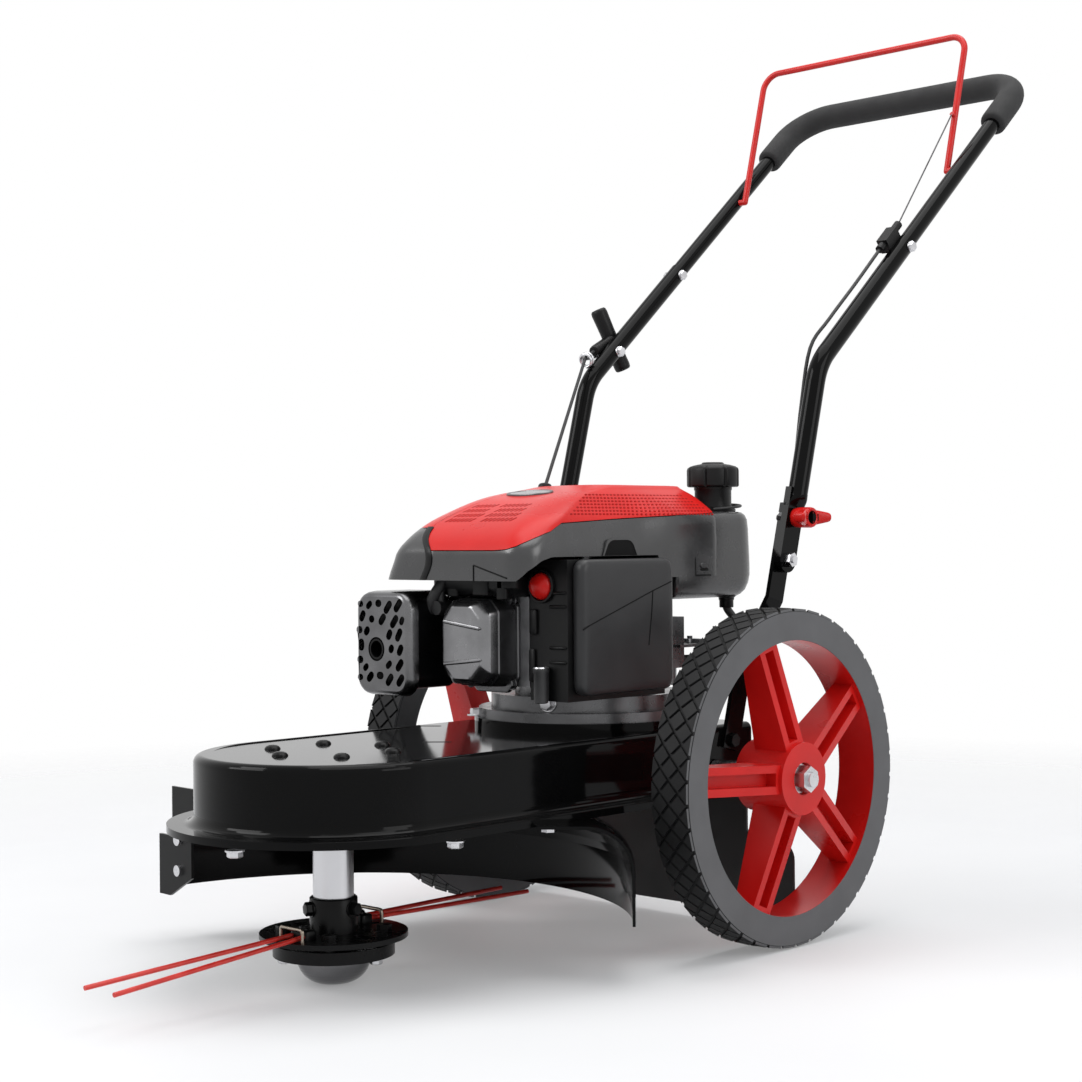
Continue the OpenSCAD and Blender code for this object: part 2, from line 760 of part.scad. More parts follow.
// Ends of the four line strands: start and tip
function strand(pair, k) =
    let (front = pair == 0, x = front ? [2, 17][k] : [-20, -7][k], tip = front ? [-7, 35][k] : [-45, -8][k])
    front ?
    [[x, -line_from, line_z], [tip, -sqrt(cut_r * cut_r - tip * tip), head_z - 5]] :
    [[x, line_from, line_z], [tip, sqrt(cut_r * cut_r - tip * tip), head_z + 5]];
module strands(r) {
    for (pair = [0, 1], k = [0, 1]) rod(strand(pair, k)[0], strand(pair, k)[1], r);
}
module cutting_lines() {
    color("orange") strands(line_r);
}
// Clamp blocks on the plate, each with a wire hoop over its pair of strands
module line_clips() {
    half = 12;
    leg = half + 4;
    color("black") difference() {
        for (pair = [0, 1]) {
            way = pair == 0 ? -1 : 1;
            mid = (strand(pair, 0)[0][0] + strand(pair, 1)[0][0]) / 2;
            translate([mid, way * (clip_from + clip_to) / 2, plate_high]) linear_extrude(clip_h)
                rounded(2 * half, clip_to - clip_from, 4);
            translate([mid, way * hoop_at, 0]) {
                for (x = [-leg, leg]) translate([x, 0, plate_high]) cylinder(h = clip_h + 3, r = hoop_r);
                translate([0, 0, plate_high + clip_h + 3]) along_x(-leg, leg) circle(hoop_r);
                for (x = [-leg, leg]) translate([x, 0, plate_high + clip_h + 3]) sphere(hoop_r);
            }
        }
        strands(line_r + play);
    }
}
module glide_dome() {
    rim_z = lower_low - gap;
    color("dimgray") rotate_extrude() polygon(concat(
        [[0, 0], [dome_flat, 0]],
        [for (k = [1:10]) [dome_flat + (dome_r - dome_flat) * sin(9 * k), (rim_z - 3) * (1 - cos(9 * k))]],
        [[dome_r, rim_z], [pin_r + play, rim_z], [pin_r + play, pin_low + 3 + gap]],
        [[pin_r + 2 + gap, pin_low + 3 + gap], [pin_r + 2 + gap, pin_low - gap], [0, pin_low - gap]]
    ));
}

// Engine
module crankcase() {
    color("silver") difference() {
        union() {
            at_engine(engine_low) cylinder(h = 10, r = case_r);
            at_engine(engine_low) cylinder(h = case_step, r = case_r - 14);
            at_engine(engine_low) cylinder(h = case_h, r = case_body_r);
            box([-45, fin_back, fin_low], [45, engine_y - 40, fin_high]);
        }
        at_engine(engine_low + 16) cylinder(h = case_h - 26, r = case_body_r - 8);
        at_engine(engine_low - 1) cylinder(h = case_h + 2, r = crank_r + play);
        translate([0, 0, bore_z]) along_y(fin_back - 1, engine_y - 40) circle(bore_r);
    }
}
module cylinder_block() {
    color("silver") difference() {
        union() {
            translate([0, 0, bore_z]) along_y(fin_y, fin_back) circle(bore_r + 4);
            for (k = [0:fin_count - 1]) {
                y = fin_y + k * fin_pitch;
                box([-fin_half, y, fin_low], [fin_half, y + 3, fin_high]);
            }
            box([bore_r, fin_y + 10, bore_z - 18], [filter_in, fin_y + 36, bore_z + 17]);
        }
        translate([0, 0, bore_z]) along_y(fin_y + 10, fin_back + 1) circle(bore_r);
    }
}
module valve_cover() {
    mid = [-3, (fin_low + fin_high) / 2];
    color("silver") translate([mid[0], 0, mid[1]]) {
        hull() {
            along_y(head_y + 8, fin_y - 4) rounded(70, 90, 12, $fn = 32);
            along_y(head_y, head_y + 1) rounded(58, 78, 12, $fn = 32);
        }
        along_y(fin_y - 4, fin_y) rounded(78, 108, 10);
        for (x = [-1, 1], z = [-1, 1]) translate([x * 31, 0, z * 48])
            along_y(fin_y - 9, fin_y - 4) hexagon(9);
    }
}
module muffler() {
    mid = [(muffler_in + muffler_out) / 2, (muffler_low + muffler_high) / 2];
    port_high = bore_z + 17;
    color("dimgray") difference() {
        union() {
            translate([mid[0], 0, mid[1]]) along_y(muffler_front, muffler_back)
                rounded(muffler_w, muffler_high - muffler_low, 14);
            box([muffler_in - 17, muffler_back - 1, port_high - 40], [muffler_in, fin_y + 32, port_high]);
            box([muffler_in - 1, fin_y + 6, port_high - 40], [-fin_half, fin_y + 32, port_high]);
            translate([outlet_at[0], 0, outlet_at[2]])
                along_y(shield_y - 2, muffler_front + 1) circle(outlet_r);
        }
        translate([outlet_at[0], 0, outlet_at[2]])
            along_y(shield_y - 3, muffler_front + 20) circle(outlet_r - 2);
    }
}
module muffler_shield() {
    out_x = muffler_out - 6;
    in_x = muffler_in - 2;
    low = muffler_low - 8;
    high = muffler_high + 6;
    color("gray") difference() {
        union() {
            box([out_x, shield_y, low], [in_x, shield_y + shield_t, high]);
            box([out_x, shield_y, low], [out_x + shield_t, muffler_back - 6, high]);
            for (z = [muffler_low + 20, muffler_high - 16])
                translate([muffler_in - 20, 0, z]) along_y(shield_y, muffler_front) circle(4);
        }
        translate([outlet_at[0], 0, outlet_at[2]])
            along_y(shield_y - 1, shield_y + shield_t + 1) circle(outlet_r + 2);
        for (k = [0:3]) translate([muffler_out + 12 + 15 * k, 0, muffler_high - 8])
            along_y(shield_y - 1, shield_y + shield_t + 1) circle(4.5);
        for (k = [0:4]) translate([0, muffler_front + 6 + 8 * k, (low + high) / 2])
            along_x(out_x - 1, out_x + shield_t + 1) square([70, 4], center = true);
    }
}
module spark_plug() {
    at = [muffler_in + 9, fin_high - 12];
    color("black") translate([at[0], 0, at[1]]) {
        along_y(fin_y - 6, fin_y) circle(4);
        along_y(fin_y - 12, fin_y - 6) hexagon(14);
        along_y(head_y + 9, fin_y - 12) circle(7.5);
        translate([0, head_y + 17, 0]) cylinder(h = cowl_low - at[1], r = 4);
    }
}
module carburettor() {
    back = filter_y + filter_l;
    low = carb_low;
    color("silver") difference() {
        union() {
            box([filter_in, back, low], [filter_back - 1, back + 34, low + 55]);
            translate([filter_in + 15, back + 17, low - 18]) cylinder(h = 19, r = 14);
            box([filter_in + 2, back + 20, lever_z - 3], [filter_back + 5, stop_y + 3, lever_z]);
            box([stop_at[0] - 7, stop_y, lever_z - 3], [filter_back + 5, stop_y + 3, stop_at[2] + 8]);
            translate([lever_at[0], lever_at[1], lever_z - 1]) cylinder(h = 8, r = 3);
        }
        translate([stop_at[0], 0, stop_at[2]]) along_y(stop_y - 1, stop_y + 4) circle(cable_r + hole_play);
    }
}
module brake_lever() {
    color("silver") translate([lever_at[0], lever_at[1], lever_z + gap]) linear_extrude(4) difference() {
        union() {
            circle(8);
            translate([0, -5]) square([lever_arm, 10]);
            translate([lever_arm, 0]) circle(5);
        }
        circle(3 + play);
    }
}
module filter_base() {
    high = filter_low + filter_h;
    back = filter_y + filter_l;
    color("dimgray") difference() {
        union() {
            box([filter_in, filter_y, filter_low], [filter_back, back, high]);
            box([filter_front_in, filter_y, filter_low], [filter_back, filter_y + 15, high]);
        }
        box([filter_in + 6, filter_y + 21, filter_low + 6], [filter_back + 1, back - 6, high - 6]);
        translate([primer_at[0], 0, primer_at[2]])
            along_y(filter_y - 1, filter_y + 12) circle(primer_r + gap);
    }
}
module filter_element() {
    high = filter_low + filter_h;
    back = filter_y + filter_l;
    color("khaki")
        box([filter_in + 6, filter_y + 27, filter_low + 12], [filter_back - 5, back - 12, high - 12]);
}
module filter_cover() {
    mid = [filter_y + filter_l / 2, filter_low + filter_h / 2];
    color("dimgray") translate([0, mid[0], mid[1]]) hull() {
        across(filter_back, filter_x - 5) rounded(filter_l, filter_h, 12, $fn = 32);
        across(filter_x - 1, filter_x) rounded(filter_l - 14, filter_h - 14, 10, $fn = 32);
    }
}
module primer_bulb() {
    color("black") translate(primer_at) {
        along_y(0, 5) circle(primer_r);
        intersection() {
            sphere(primer_r);
            box([-primer_r, -primer_r, -primer_r], [primer_r, 0, primer_r]);
        }
    }
}
module cowl_body(inset) {
    hull() for (level = cowl_levels) {
        z = max(min(level[0], cowl_h - inset - 0.01), inset);
        r = level[4] - inset;
        front = level[1] + inset + r;
        rear = level[2] - inset - r;
        half = level[3] - inset - r;
        for (x = [-half, half], y = [front, rear]) translate([x, engine_y + y, cowl_low + z])
            cylinder(h = 0.01, r = r, $fn = 32);
    }
}
module above_split(shift) {
    high = cowl_h + 20;
    line = [for (p = split_line) [engine_y + p[0], cowl_low + p[1] + shift]];
    last = len(line) - 1;
    across(-cowl_w, cowl_w)
        polygon(concat(line, [[line[last][0], cowl_low + high], [line[0][0], cowl_low + high]]));
}
module engine_shroud() {
    notch_x = filter_front_in - 2;
    color("dimgray") difference() {
        cowl_body(0);
        cowl_body(cowl_t);
        above_split(-split_gap);
        box([notch_x, filter_y - primer_r - 4, cowl_low - 1],
            [cowl_w, filter_y + filter_l + 4, filter_low + filter_h + 2]);
        at_engine(cowl_low - 1) cylinder(h = cowl_t + 2, r = crank_r + 4);
    }
}
rope_way = unit(on_bend(guide_at) - rope_from);
module starter_cover() {
    color("red") difference() {
        union() {
            intersection() {
                difference() {
                    cowl_body(0);
                    cowl_body(cowl_t);
                }
                above_split(0);
            }
            at_engine(reel_z - 4) cylinder(h = cowl_top - reel_z + 3, r = post_r);
            at_engine(reel_z - 4) cylinder(h = 4 - gap, r = post_r + 6);
        }
        rod(rope_from - 20 * rope_way, rope_from + 20 * rope_way, rope_r + 1);
    }
}
module badge_plate() {
    run = [cowl_levels[2], cowl_levels[4]];
    place = mix(run[0], run[1], 0.7);
    lean = atan2(run[1][0] - run[0][0], run[1][1] - run[0][1]);
    color("silver") translate([0, engine_y + place[1], cowl_low + place[0]]) rotate([lean, 0, 0])
        translate([0, 0, play]) linear_extrude(2.5) {
            square([28, 40], center = true);
            for (x = [-14, 14]) translate([x, 0]) circle(20);
        }
}
module fuel_tank() {
    mid = [(tank_left + tank_right) / 2, tank_y + tank_l / 2];
    w = tank_right - tank_left;
    color("dimgray") difference() {
        union() {
            translate([mid[0], mid[1], tank_low]) linear_extrude(tank_h) rounded(w, tank_l, tank_corner);
            translate([neck_at[0], neck_at[1], tank_low]) cylinder(h = neck_top - tank_low, r = neck_r);
            translate([hose_route[0][0], hose_route[0][1], tank_low - 4]) cylinder(h = 5, r = hose_r + 2);
        }
        translate([mid[0], mid[1], tank_low + 3]) linear_extrude(tank_h - 6)
            rounded(w - 6, tank_l - 6, tank_corner - 3);
        translate([neck_at[0], neck_at[1], tank_low + 10]) cylinder(h = neck_top, r = neck_r - 4);
    }
}
module fuel_cap() {
    cap_h = 26;
    lobe_count = 8;
    color("black") translate([neck_at[0], neck_at[1], neck_top + gap]) {
        difference() {
            cylinder(h = cap_h, r = cap_d / 2);
            for (k = [0:lobe_count - 1]) rotate((k + 0.5) * 360 / lobe_count)
                translate([cap_d / 2 + 0.5, 0, -1]) cylinder(h = cap_h + 2, r = 2.5);
        }
        translate([0, 0, -9]) cylinder(h = 10, r = neck_r - 4 - gap);
    }
}
module fuel_hose() {
    color("black") tube_along(curve(hose_route, 3), hose_r);
}
module crankshaft() {
    low = pulley_z - pulley_h / 2 - 4;
    color("silver") at_engine(low) cylinder(h = flywheel_z + flywheel_h + 2 - low, r = crank_r);
}
module flywheel() {
    blade_count = 14;
    color("gray") at_engine(flywheel_z) difference() {
        union() {
            cylinder(h = flywheel_h - 8, r = flywheel_r);
            cylinder(h = flywheel_h, r = crank_r + 14);
            for (k = [0:blade_count - 1]) rotate(k * 360 / blade_count)
                box([crank_r + 20, -2, flywheel_h - 9], [flywheel_r - 3, 2, flywheel_h]);
        }
        translate([0, 0, -1]) cylinder(h = flywheel_h + 2, r = crank_r + play);
    }
}
module recoil_reel() {
    color("black") at_engine(reel_z) rotate_extrude() polygon([
        [post_r + play, 0], [reel_r, 0], [reel_r, 3], [reel_r - 10, 3],
        [reel_r - 10, reel_h - 3], [reel_r, reel_h - 3], [reel_r, reel_h], [post_r + play, reel_h]
    ]);
}
module starter_rope() {
    guide = on_bend(guide_at);
    part = (rope_stop + rope_from[0]) / (rope_from[0] - guide[0]);
    color("black") rod(rope_from - 6 * rope_way, mix(rope_from, guide, part), rope_r);
}
module brake_cable_lower() {
    color("black") tube_along(curve(lower_route, 3), cable_r);
}

// Handle
module tube_run(r, from, past = 0) {
    straight = lower_len - bend_run;
    at_pivot() translate([tube_x, 0, from]) cylinder(h = straight - from, r = r);
    at_pivot() translate([tube_x, bend_r, straight]) rotate([90, 0, -90])
        rotate_extrude(angle = bend_angle) translate([bend_r, 0]) circle(r);
    at_bend() translate([tube_x, 0, bend_run]) cylinder(h = joint_at - bend_run + past, r = r);
    at_bend() translate([tube_x, 0, bend_run - 1]) cylinder(h = 2, r = r + play);
}
module joint_bolt_hole() {
    at_bend() translate([0, 0, tube_bolt_at]) along_x(tube_x - tube_d, tube_x + tube_d) circle(3 + play);
}
module lower_tubes() {
    color("black") for (side = [-1, 1]) on_side(side) difference() {
        union() {
            tube_run(tube_r, flat_len - 8);
            at_pivot() along_x(flat_x, flat_x + flat_t) {
                circle(flat_half);
                translate([-flat_len, -flat_half]) square([flat_len, 2 * flat_half]);
            }
        }
        tube_run(tube_r - tube_t, flat_len + 4, 1);
        joint_bolt_hole();
        at_bend() translate([0, 0, guide_bolt_at]) along_x(tube_x - tube_d, tube_x) circle(3 + play);
        at_pivot() along_x(flat_x - 1, flat_x + flat_t + 1) circle(bolt_r + play);
        at_pivot() translate([0, 0, knob_at]) along_x(flat_x - 1, flat_x + flat_t + 1) circle(stud_r + play);
    }
}
// The bent upper tube, drawn from a given length along the upper run
module grip_run(r, from) {
    at_bend() {
        for (side = [-1, 1]) on_side(side) {
            translate([tube_x, 0, from]) cylinder(h = upper_len - corner_r - from, r = r);
            translate([tube_x - corner_r, 0, upper_len - corner_r]) rotate([90, 0, 0])
                rotate_extrude(angle = 90) translate([corner_r, 0]) circle(r);
        }
        translate([0, 0, upper_len]) along_x(corner_r - tube_x, tube_x - corner_r) circle(r);
    }
}
module upper_handle() {
    color("black") difference() {
        grip_run(upper_r, joint_at - 60);
        grip_run(upper_r - tube_t, joint_at - 61);
        for (side = [-1, 1]) on_side(side) {
            joint_bolt_hole();
            at_bend() translate([0, 0, bail_at]) along_x(tube_x - tube_r - 1, tube_x) circle(bail_r + play);
        }
    }
}
module foam_grip() {
    color("black") difference() {
        grip_run(grip_d / 2, grip_from);
        grip_run(upper_r + play, grip_from - 1);
    }
}
guide_way = unit(grip_at - guide_at);
guide_side = unit(cross(guide_way, [1, 0, 0]));
guide_up = cross(guide_side, guide_way);
coil_r = 8;
guide_wire_r = 1.8;
// Wire of the rope guide: a coil round the rope and a shank to its bolt
function guide_wire() = concat(
    [for (k = [0:24]) guide_at + guide_way * (k / 24 * 9 - 4)
        + guide_side * (coil_r - guide_wire_r - rope_r - gap)
        + coil_r * (cos(540 * k / 24) * guide_side + sin(540 * k / 24) * guide_up)],
    [[-tube_x + 10, -19, guide_at[2] + 16], [-tube_x + 14, -10, guide_at[2] + 30]],
    [[-tube_x + 14, -2, guide_bolt_at - 4]]
);
module handle_fittings() {
    color("silver") {
        for (side = [-1, 1]) on_side(side) at_bend() translate([0, 0, tube_bolt_at]) {
            along_x(tube_x - tube_r - 6, tube_x + tube_r + 3) circle(3);
            along_x(tube_x + tube_r, tube_x + tube_r + 5) hexagon(11);
            along_x(tube_x - tube_r - 5, tube_x - tube_r) hexagon(11);
        }
        at_bend() translate([0, 0, guide_bolt_at]) {
            along_x(-tube_x + tube_r, -tube_x + tube_r + 6) hexagon(11);
            along_x(-tube_x, -tube_x + tube_r) circle(3);
        }
        at_bend() tube_along(guide_wire(), guide_wire_r, 6);
    }
}
module cable_adjuster() {
    color("black") at_bend() difference() {
        union() {
            translate(adjuster_at) box([-7, -6, -14], [7, 12, 14]);
            translate(adjuster_at) translate([0, 0, -24]) cylinder(h = 52, r = 5);
        }
        translate([tube_x, 0, 0]) cylinder(h = joint_at + 20, r = tube_r + play);
    }
}
hook_at = [bail_x, -8, bail_eye_at];
module handle_cables() {
    top = adjuster_at + [0, 0, 28];
    hook = on_bail(hook_at);
    low = on_bend(top);
    guide = on_bend(guide_at);
    color("black") {
        tube_along(curve(upper_route, 4), cable_r);
        rod(low, mix(low, hook, 1 - 8 / norm(hook - low)), wire_r);
        rod(mix(rope_from, guide, (rope_start + rope_from[0]) / (rope_from[0] - guide[0])), guide, rope_r);
    }
}
module starter_grip() {
    bar = unit(cross(guide_way, [1, 0, 0]));
    color("black") at_bend() {
        rod(grip_at - 38 * bar, grip_at + 38 * bar, 9);
        rod(grip_at - 52 * guide_way, grip_at, 6);
    }
}
module bail() {
    color("silver") at_bail() {
        for (side = [-1, 1]) on_side(side) {
            along_x(bail_x, tube_x - 3) circle(bail_r);
            translate([bail_x, 0, 0]) sphere(bail_r);
            translate([bail_x, 0, 0]) cylinder(h = bail_len - bail_corner, r = bail_r);
            translate([bail_x - bail_corner, 0, bail_len - bail_corner]) rotate([90, 0, 0])
                rotate_extrude(angle = 90) translate([bail_corner, 0]) circle(bail_r);
        }
        translate([0, 0, bail_len]) along_x(bail_corner - bail_x, bail_x - bail_corner) circle(bail_r);
        rod([bail_x, 0, bail_eye_at], hook_at, 2.5);
    }
}
module wing_knob() {
    knob_x = flat_x + flat_t + gap;
    wing_x = knob_x + 12;
    nut_x = bracket_x - gap;
    color("red") at_pivot() translate([0, 0, knob_at]) {
        along_x(nut_x - 6, knob_x + 4) circle(stud_r);
        along_x(nut_x - 6, nut_x) hexagon(13);
        along_x(knob_x, knob_x + 24) circle(9);
        rotate([lower_tilt, 0, 0]) for (s = [-1, 1]) hull() {
            along_x(wing_x, wing_x + 10) translate([0, s * 4]) circle(7, $fn = 32);
            along_x(wing_x + 6, wing_x + 26) translate([0, s * 19]) circle(5, $fn = 32);
        }
    }
}
module wing_knob_right() { wing_knob(); }
module wing_knob_left() { on_side(-1) wing_knob(); }

deck();
frame_plate();
engine_plate();
debris_guard();
guard_bracket();
guard_fasteners();
rear_flap();
axle();
axle_hardware();
handle_brackets();
deck_bolts();
spindle_housing();
spindle_bearings();
drive_belt();
crankcase();
cylinder_block();
valve_cover();
muffler();
muffler_shield();
spark_plug();
carburettor();
filter_base();
filter_element();
filter_cover();
engine_shroud();
starter_cover();
badge_plate();
fuel_tank();
fuel_hose();
starter_rope();
brake_cable_lower();
pivot_bolts();
spindle_shaft();
spindle_pulley();
clamp_collar();
head_plates();
line_clips();
cutting_lines();
glide_dome();
crankshaft();
flywheel();
engine_pulley();
recoil_reel();
brake_lever();
primer_bulb();
fuel_cap();
rim_right();
rim_left();
tyre_right();
tyre_left();
lower_tubes();
upper_handle();
foam_grip();
handle_fittings();
cable_adjuster();
handle_cables();
starter_grip();
bail();
wing_knob_right();
wing_knob_left();
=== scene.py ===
import bpy
import bmesh
from math import copysign, cos, hypot, pi, radians, sin, sqrt
from mathutils import Matrix, Vector
from mathutils.geometry import tessellate_polygon


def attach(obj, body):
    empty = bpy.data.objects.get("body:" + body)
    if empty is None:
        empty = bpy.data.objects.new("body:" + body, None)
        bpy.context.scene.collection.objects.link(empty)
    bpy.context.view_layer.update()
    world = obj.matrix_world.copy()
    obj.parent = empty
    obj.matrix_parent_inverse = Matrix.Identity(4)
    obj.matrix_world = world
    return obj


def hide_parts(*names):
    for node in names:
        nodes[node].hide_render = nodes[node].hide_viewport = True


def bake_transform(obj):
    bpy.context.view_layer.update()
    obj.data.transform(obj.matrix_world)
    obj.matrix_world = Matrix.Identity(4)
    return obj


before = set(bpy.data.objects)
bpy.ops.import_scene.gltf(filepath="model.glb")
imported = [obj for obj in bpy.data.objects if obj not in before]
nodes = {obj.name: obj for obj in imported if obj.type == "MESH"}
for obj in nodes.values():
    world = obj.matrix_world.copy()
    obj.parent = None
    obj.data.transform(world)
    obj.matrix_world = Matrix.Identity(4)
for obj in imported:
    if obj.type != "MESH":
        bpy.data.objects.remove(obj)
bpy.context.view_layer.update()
scene = bpy.context.scene


def add_object(name, data):
    item = bpy.data.objects.new(name, data)
    scene.collection.objects.link(item)
    return item


# Camera at the photograph's viewing angle
def place_camera():
    az, pitch, roll = map(radians, (43.925, 0.183, -0.483))
    place = (1.49695, -1.25794, 0.43488)
    forward = Vector((-sin(az) * cos(pitch), cos(az) * cos(pitch), -sin(pitch)))
    right = Vector((cos(az), sin(az), 0))
    up = right.cross(forward)
    across = right * cos(roll) + up * sin(roll)
    top = up * cos(roll) - right * sin(roll)
    data = bpy.data.cameras.new("photo_camera")
    data.sensor_width, data.lens = 36, 66.3
    camera = add_object("photo_camera", data)
    axes = Matrix((across, top, -forward)).transposed()
    camera.matrix_world = Matrix.Translation(place) @ axes.to_4x4()
    scene.camera = camera


place_camera()


# Materials
def feed(tree, node, inputs):
    """Sets a node's inputs, each to a value or to another node's output."""
    for name, value in inputs.items():
        if isinstance(value, bpy.types.NodeSocket):
            tree.links.new(value, node.inputs[name])
        else:
            node.inputs[name].default_value = value


def add_node(tree, kind, inputs=None):
    node = tree.nodes.new("ShaderNode" + kind)
    feed(tree, node, inputs or {})
    return node


def mix_into(tree, output, share, first, second):
    """Mixes two shaders by share into the tree's output node."""
    mix = add_node(tree, "MixShader", {"Fac": share, 1: first.outputs[0], 2: second.outputs[0]})
    feed(tree, tree.nodes[output], {"Surface": mix.outputs["Shader"]})


def new_material(name):
    material = bpy.data.materials.new(name)
    material.use_nodes = True
    tree = material.node_tree
    return material, tree, tree.nodes["Principled BSDF"]


def object_noise(tree, scale, detail=4.0):
    coords = add_node(tree, "TexCoord").outputs["Object"]
    return add_node(tree, "TexNoise", {"Vector": coords, "Scale": scale, "Detail": detail}).outputs["Fac"]


def ramp(tree, source, low, high, start=0.3, end=0.7):
    node = add_node(tree, "ValToRGB", {"Fac": source})
    stops = node.color_ramp.elements
    stops[0].position, stops[1].position = start, end
    stops[0].color, stops[1].color = (*low, 1), (*high, 1)
    return node.outputs["Color"]


def span(tree, source, low, high):
    inputs = {"Value": source, "From Min": 0.3, "From Max": 0.7, "To Min": low, "To Max": high}
    return add_node(tree, "MapRange", inputs).outputs["Result"]


looks = {}


def surface(name, low, high, rough, patch=30, grain=900, bump=0.08, depth=0.0004, metal=0.0, specular=0.5,
            on=""):
    """A look whose colour and roughness vary in patches, with a fine grain, and the nodes it is on.
    A colour that is one number is a grey."""
    low, high = [(c, c, c * 1.03) if isinstance(c, float) else c for c in (low, high)]
    material, tree, shader = new_material(name)
    patches, grains = object_noise(tree, patch, 5.0), object_noise(tree, grain, 3.0)
    relief = add_node(tree, "Bump", {"Strength": bump, "Distance": depth, "Height": grains})
    feed(tree, shader, {
        "Base Color": ramp(tree, patches, low, high), "Roughness": span(tree, patches, *rough),
        "Normal": relief.outputs["Normal"], "Metallic": metal, "Specular IOR Level": specular})
    looks[name] = material
    for node in on.split():
        data = nodes[node].data
        data.materials.clear()
        data.materials.append(material)


surface("gloss_black", 0.002, 0.004, (0.06, 0.11), 8, 260, 0.02, 0.0003, specular=0.09,
        on="deck engine_plate debris_guard guard_bracket handle_brackets lower_tubes upper_handle")
surface("satin_black", 0.003, 0.006, (0.24, 0.36), 25, 700, specular=0.14,
        on="frame_plate deck_bolts clamp_collar head_plates muffler")
surface("black_plastic", 0.004, 0.008, (0.32, 0.46), 40, 1600, 0.14, specular=0.18,
        on="filter_base fuel_cap recoil_reel starter_grip cable_adjuster line_clips")
surface("grey_plastic", 0.024, 0.033, (0.22, 0.30), 30, 1800, 0.10, specular=0.7,
        on="engine_shroud fuel_tank")
surface("dark_plastic", 0.020, 0.030, (0.42, 0.55), 30, 1800, 0.16, on="filter_cover")
surface("red_plastic", (0.60, 0.010, 0.008), (0.70, 0.014, 0.011), (0.24, 0.34), 14, 1500, 0.05,
        specular=0.22, on="starter_cover primer_bulb wing_knob_right wing_knob_left")
surface("rim_red", (0.56, 0.008, 0.006), (0.68, 0.012, 0.010), (0.26, 0.38), 16, 1200, 0.10, specular=0.3,
        on="rim_right rim_left")
surface("paint_red", (0.56, 0.012, 0.010), (0.64, 0.018, 0.014), (0.24, 0.34), bump=0.04, specular=0.3,
        on="bail")
surface("line_red", (0.60, 0.020, 0.014), (0.74, 0.045, 0.030), (0.30, 0.42), 60, 1200, 0.06,
        on="cutting_lines")
surface("cast_metal", 0.22, 0.34, (0.42, 0.58), 45, 1100, 0.30, 0.0006, metal=0.9, on="cylinder_block")
surface("bright_steel", 0.52, 0.66, (0.22, 0.34), 60, 900, 0.06, metal=1.0,
        on="axle axle_hardware guard_fasteners pivot_bolts handle_fittings brake_lever")
surface("turned_steel", 0.55, 0.60, (0.26, 0.32), 8, 900, 0.03, metal=1.0,
        on="spindle_housing spindle_shaft spindle_bearings crankshaft")
surface("dark_metal", 0.10, 0.15, (0.24, 0.36), 35, 900, 0.14, metal=0.9,
        on="crankcase carburettor valve_cover spindle_pulley engine_pulley flywheel")
surface("shield_metal", 0.11, 0.16, (0.18, 0.30), 30, 700, metal=1.0, on="muffler_shield")
surface("dome_steel", 0.13, 0.19, (0.10, 0.18), 20, 700, 0.04, metal=1.0, on="glide_dome")
surface("wire_dark", 0.05, 0.09, (0.30, 0.45), 80, 900, 0.10, metal=0.8)
surface("wire_bronze", (0.26, 0.22, 0.18), (0.36, 0.31, 0.26), (0.24, 0.36), 80, metal=1.0)
surface("tyre_side", 0.085, 0.115, (0.55, 0.68), 25, 1200, 0.20, on="tyre_right tyre_left")
surface("tyre_tread", 0.009, 0.015, (0.60, 0.75), 40, 1100, 0.28, specular=0.25)
surface("black_rubber", 0.012, 0.020, (0.50, 0.64), 40, 1400, 0.20,
        on="rear_flap drive_belt spark_plug fuel_hose brake_cable_lower handle_cables")
surface("foam", 0.012, 0.018, (0.72, 0.86), 60, 2400, 0.55, 0.0007, on="foam_grip")
surface("rope", 0.012, 0.035, (0.70, 0.85), 900, 1600, 0.5, 0.0006, on="starter_rope")
surface("paper", (0.45, 0.38, 0.24), (0.58, 0.50, 0.34), (0.80, 0.92), 60, 900, 0.4, on="filter_element")
# Black for the nose seam lines, and painted shade in the side vent, latch grooves, filter creases, knob hole
# and deck slots.
surface("deep_black", 0.003, 0.006, (0.5, 0.7), 40, 900, 0.1, specular=0.1)
# Dark red for the cover's vent holes: painted shade inside the holes.
surface("vent_shade_red", (0.30, 0.005, 0.004), (0.38, 0.008, 0.006), (0.5, 0.7), 40, 900, 0.1, specular=0.1)
surface("cover_metal", 0.17, 0.24, (0.20, 0.30), 30, 900, 0.10, metal=0.95)
surface("panel_plastic", 0.026, 0.034, (0.34, 0.46), 22, 1900, 0.14, specular=0.3)
surface("badge_face", 0.30, 0.42, (0.24, 0.34), 60, 900, 0.06, metal=0.9, on="badge_plate")


# Places on the handle, in millimetres and degrees
PIVOT, LOWER_LEAN, LOWER_LENGTH = Vector((0, 504, 405)), 15.3, 226
UPPER_LEAN, BAIL_AT, BAIL_LEAN = 49.2, 390, 15.1
TUBE_X, TUBE_R = 175.0, 11.0
ACROSS, ALONG, UP = Vector((1, 0, 0)), Vector((0, 1, 0)), Vector((0, 0, 1))


def turned(p, degrees):
    c, s = cos(radians(degrees)), sin(radians(degrees))
    return Vector((p[0], p[1] * c + p[2] * s, p[2] * c - p[1] * s))


def on_pivot(p):
    return PIVOT + turned(p, LOWER_LEAN)


def on_bend(p):
    return on_pivot((0, 0, LOWER_LENGTH)) + turned(p, UPPER_LEAN)


def on_bail(p):
    return on_bend((0, 0, BAIL_AT)) + turned(p, BAIL_LEAN)


# Shapes shared by the pieces, in millimetres: a form is a list of points and a list of faces
def metres(p):
    return tuple(0.001 * c for c in p)


def turns(count):
    return [2 * pi * k / count for k in range(count)]


def join_forms(forms):
    verts, faces = [], []
    for v, f in forms:
        base = len(verts)
        verts += list(v)
        faces += [tuple(base + i for i in face) for face in f]
    return verts, faces


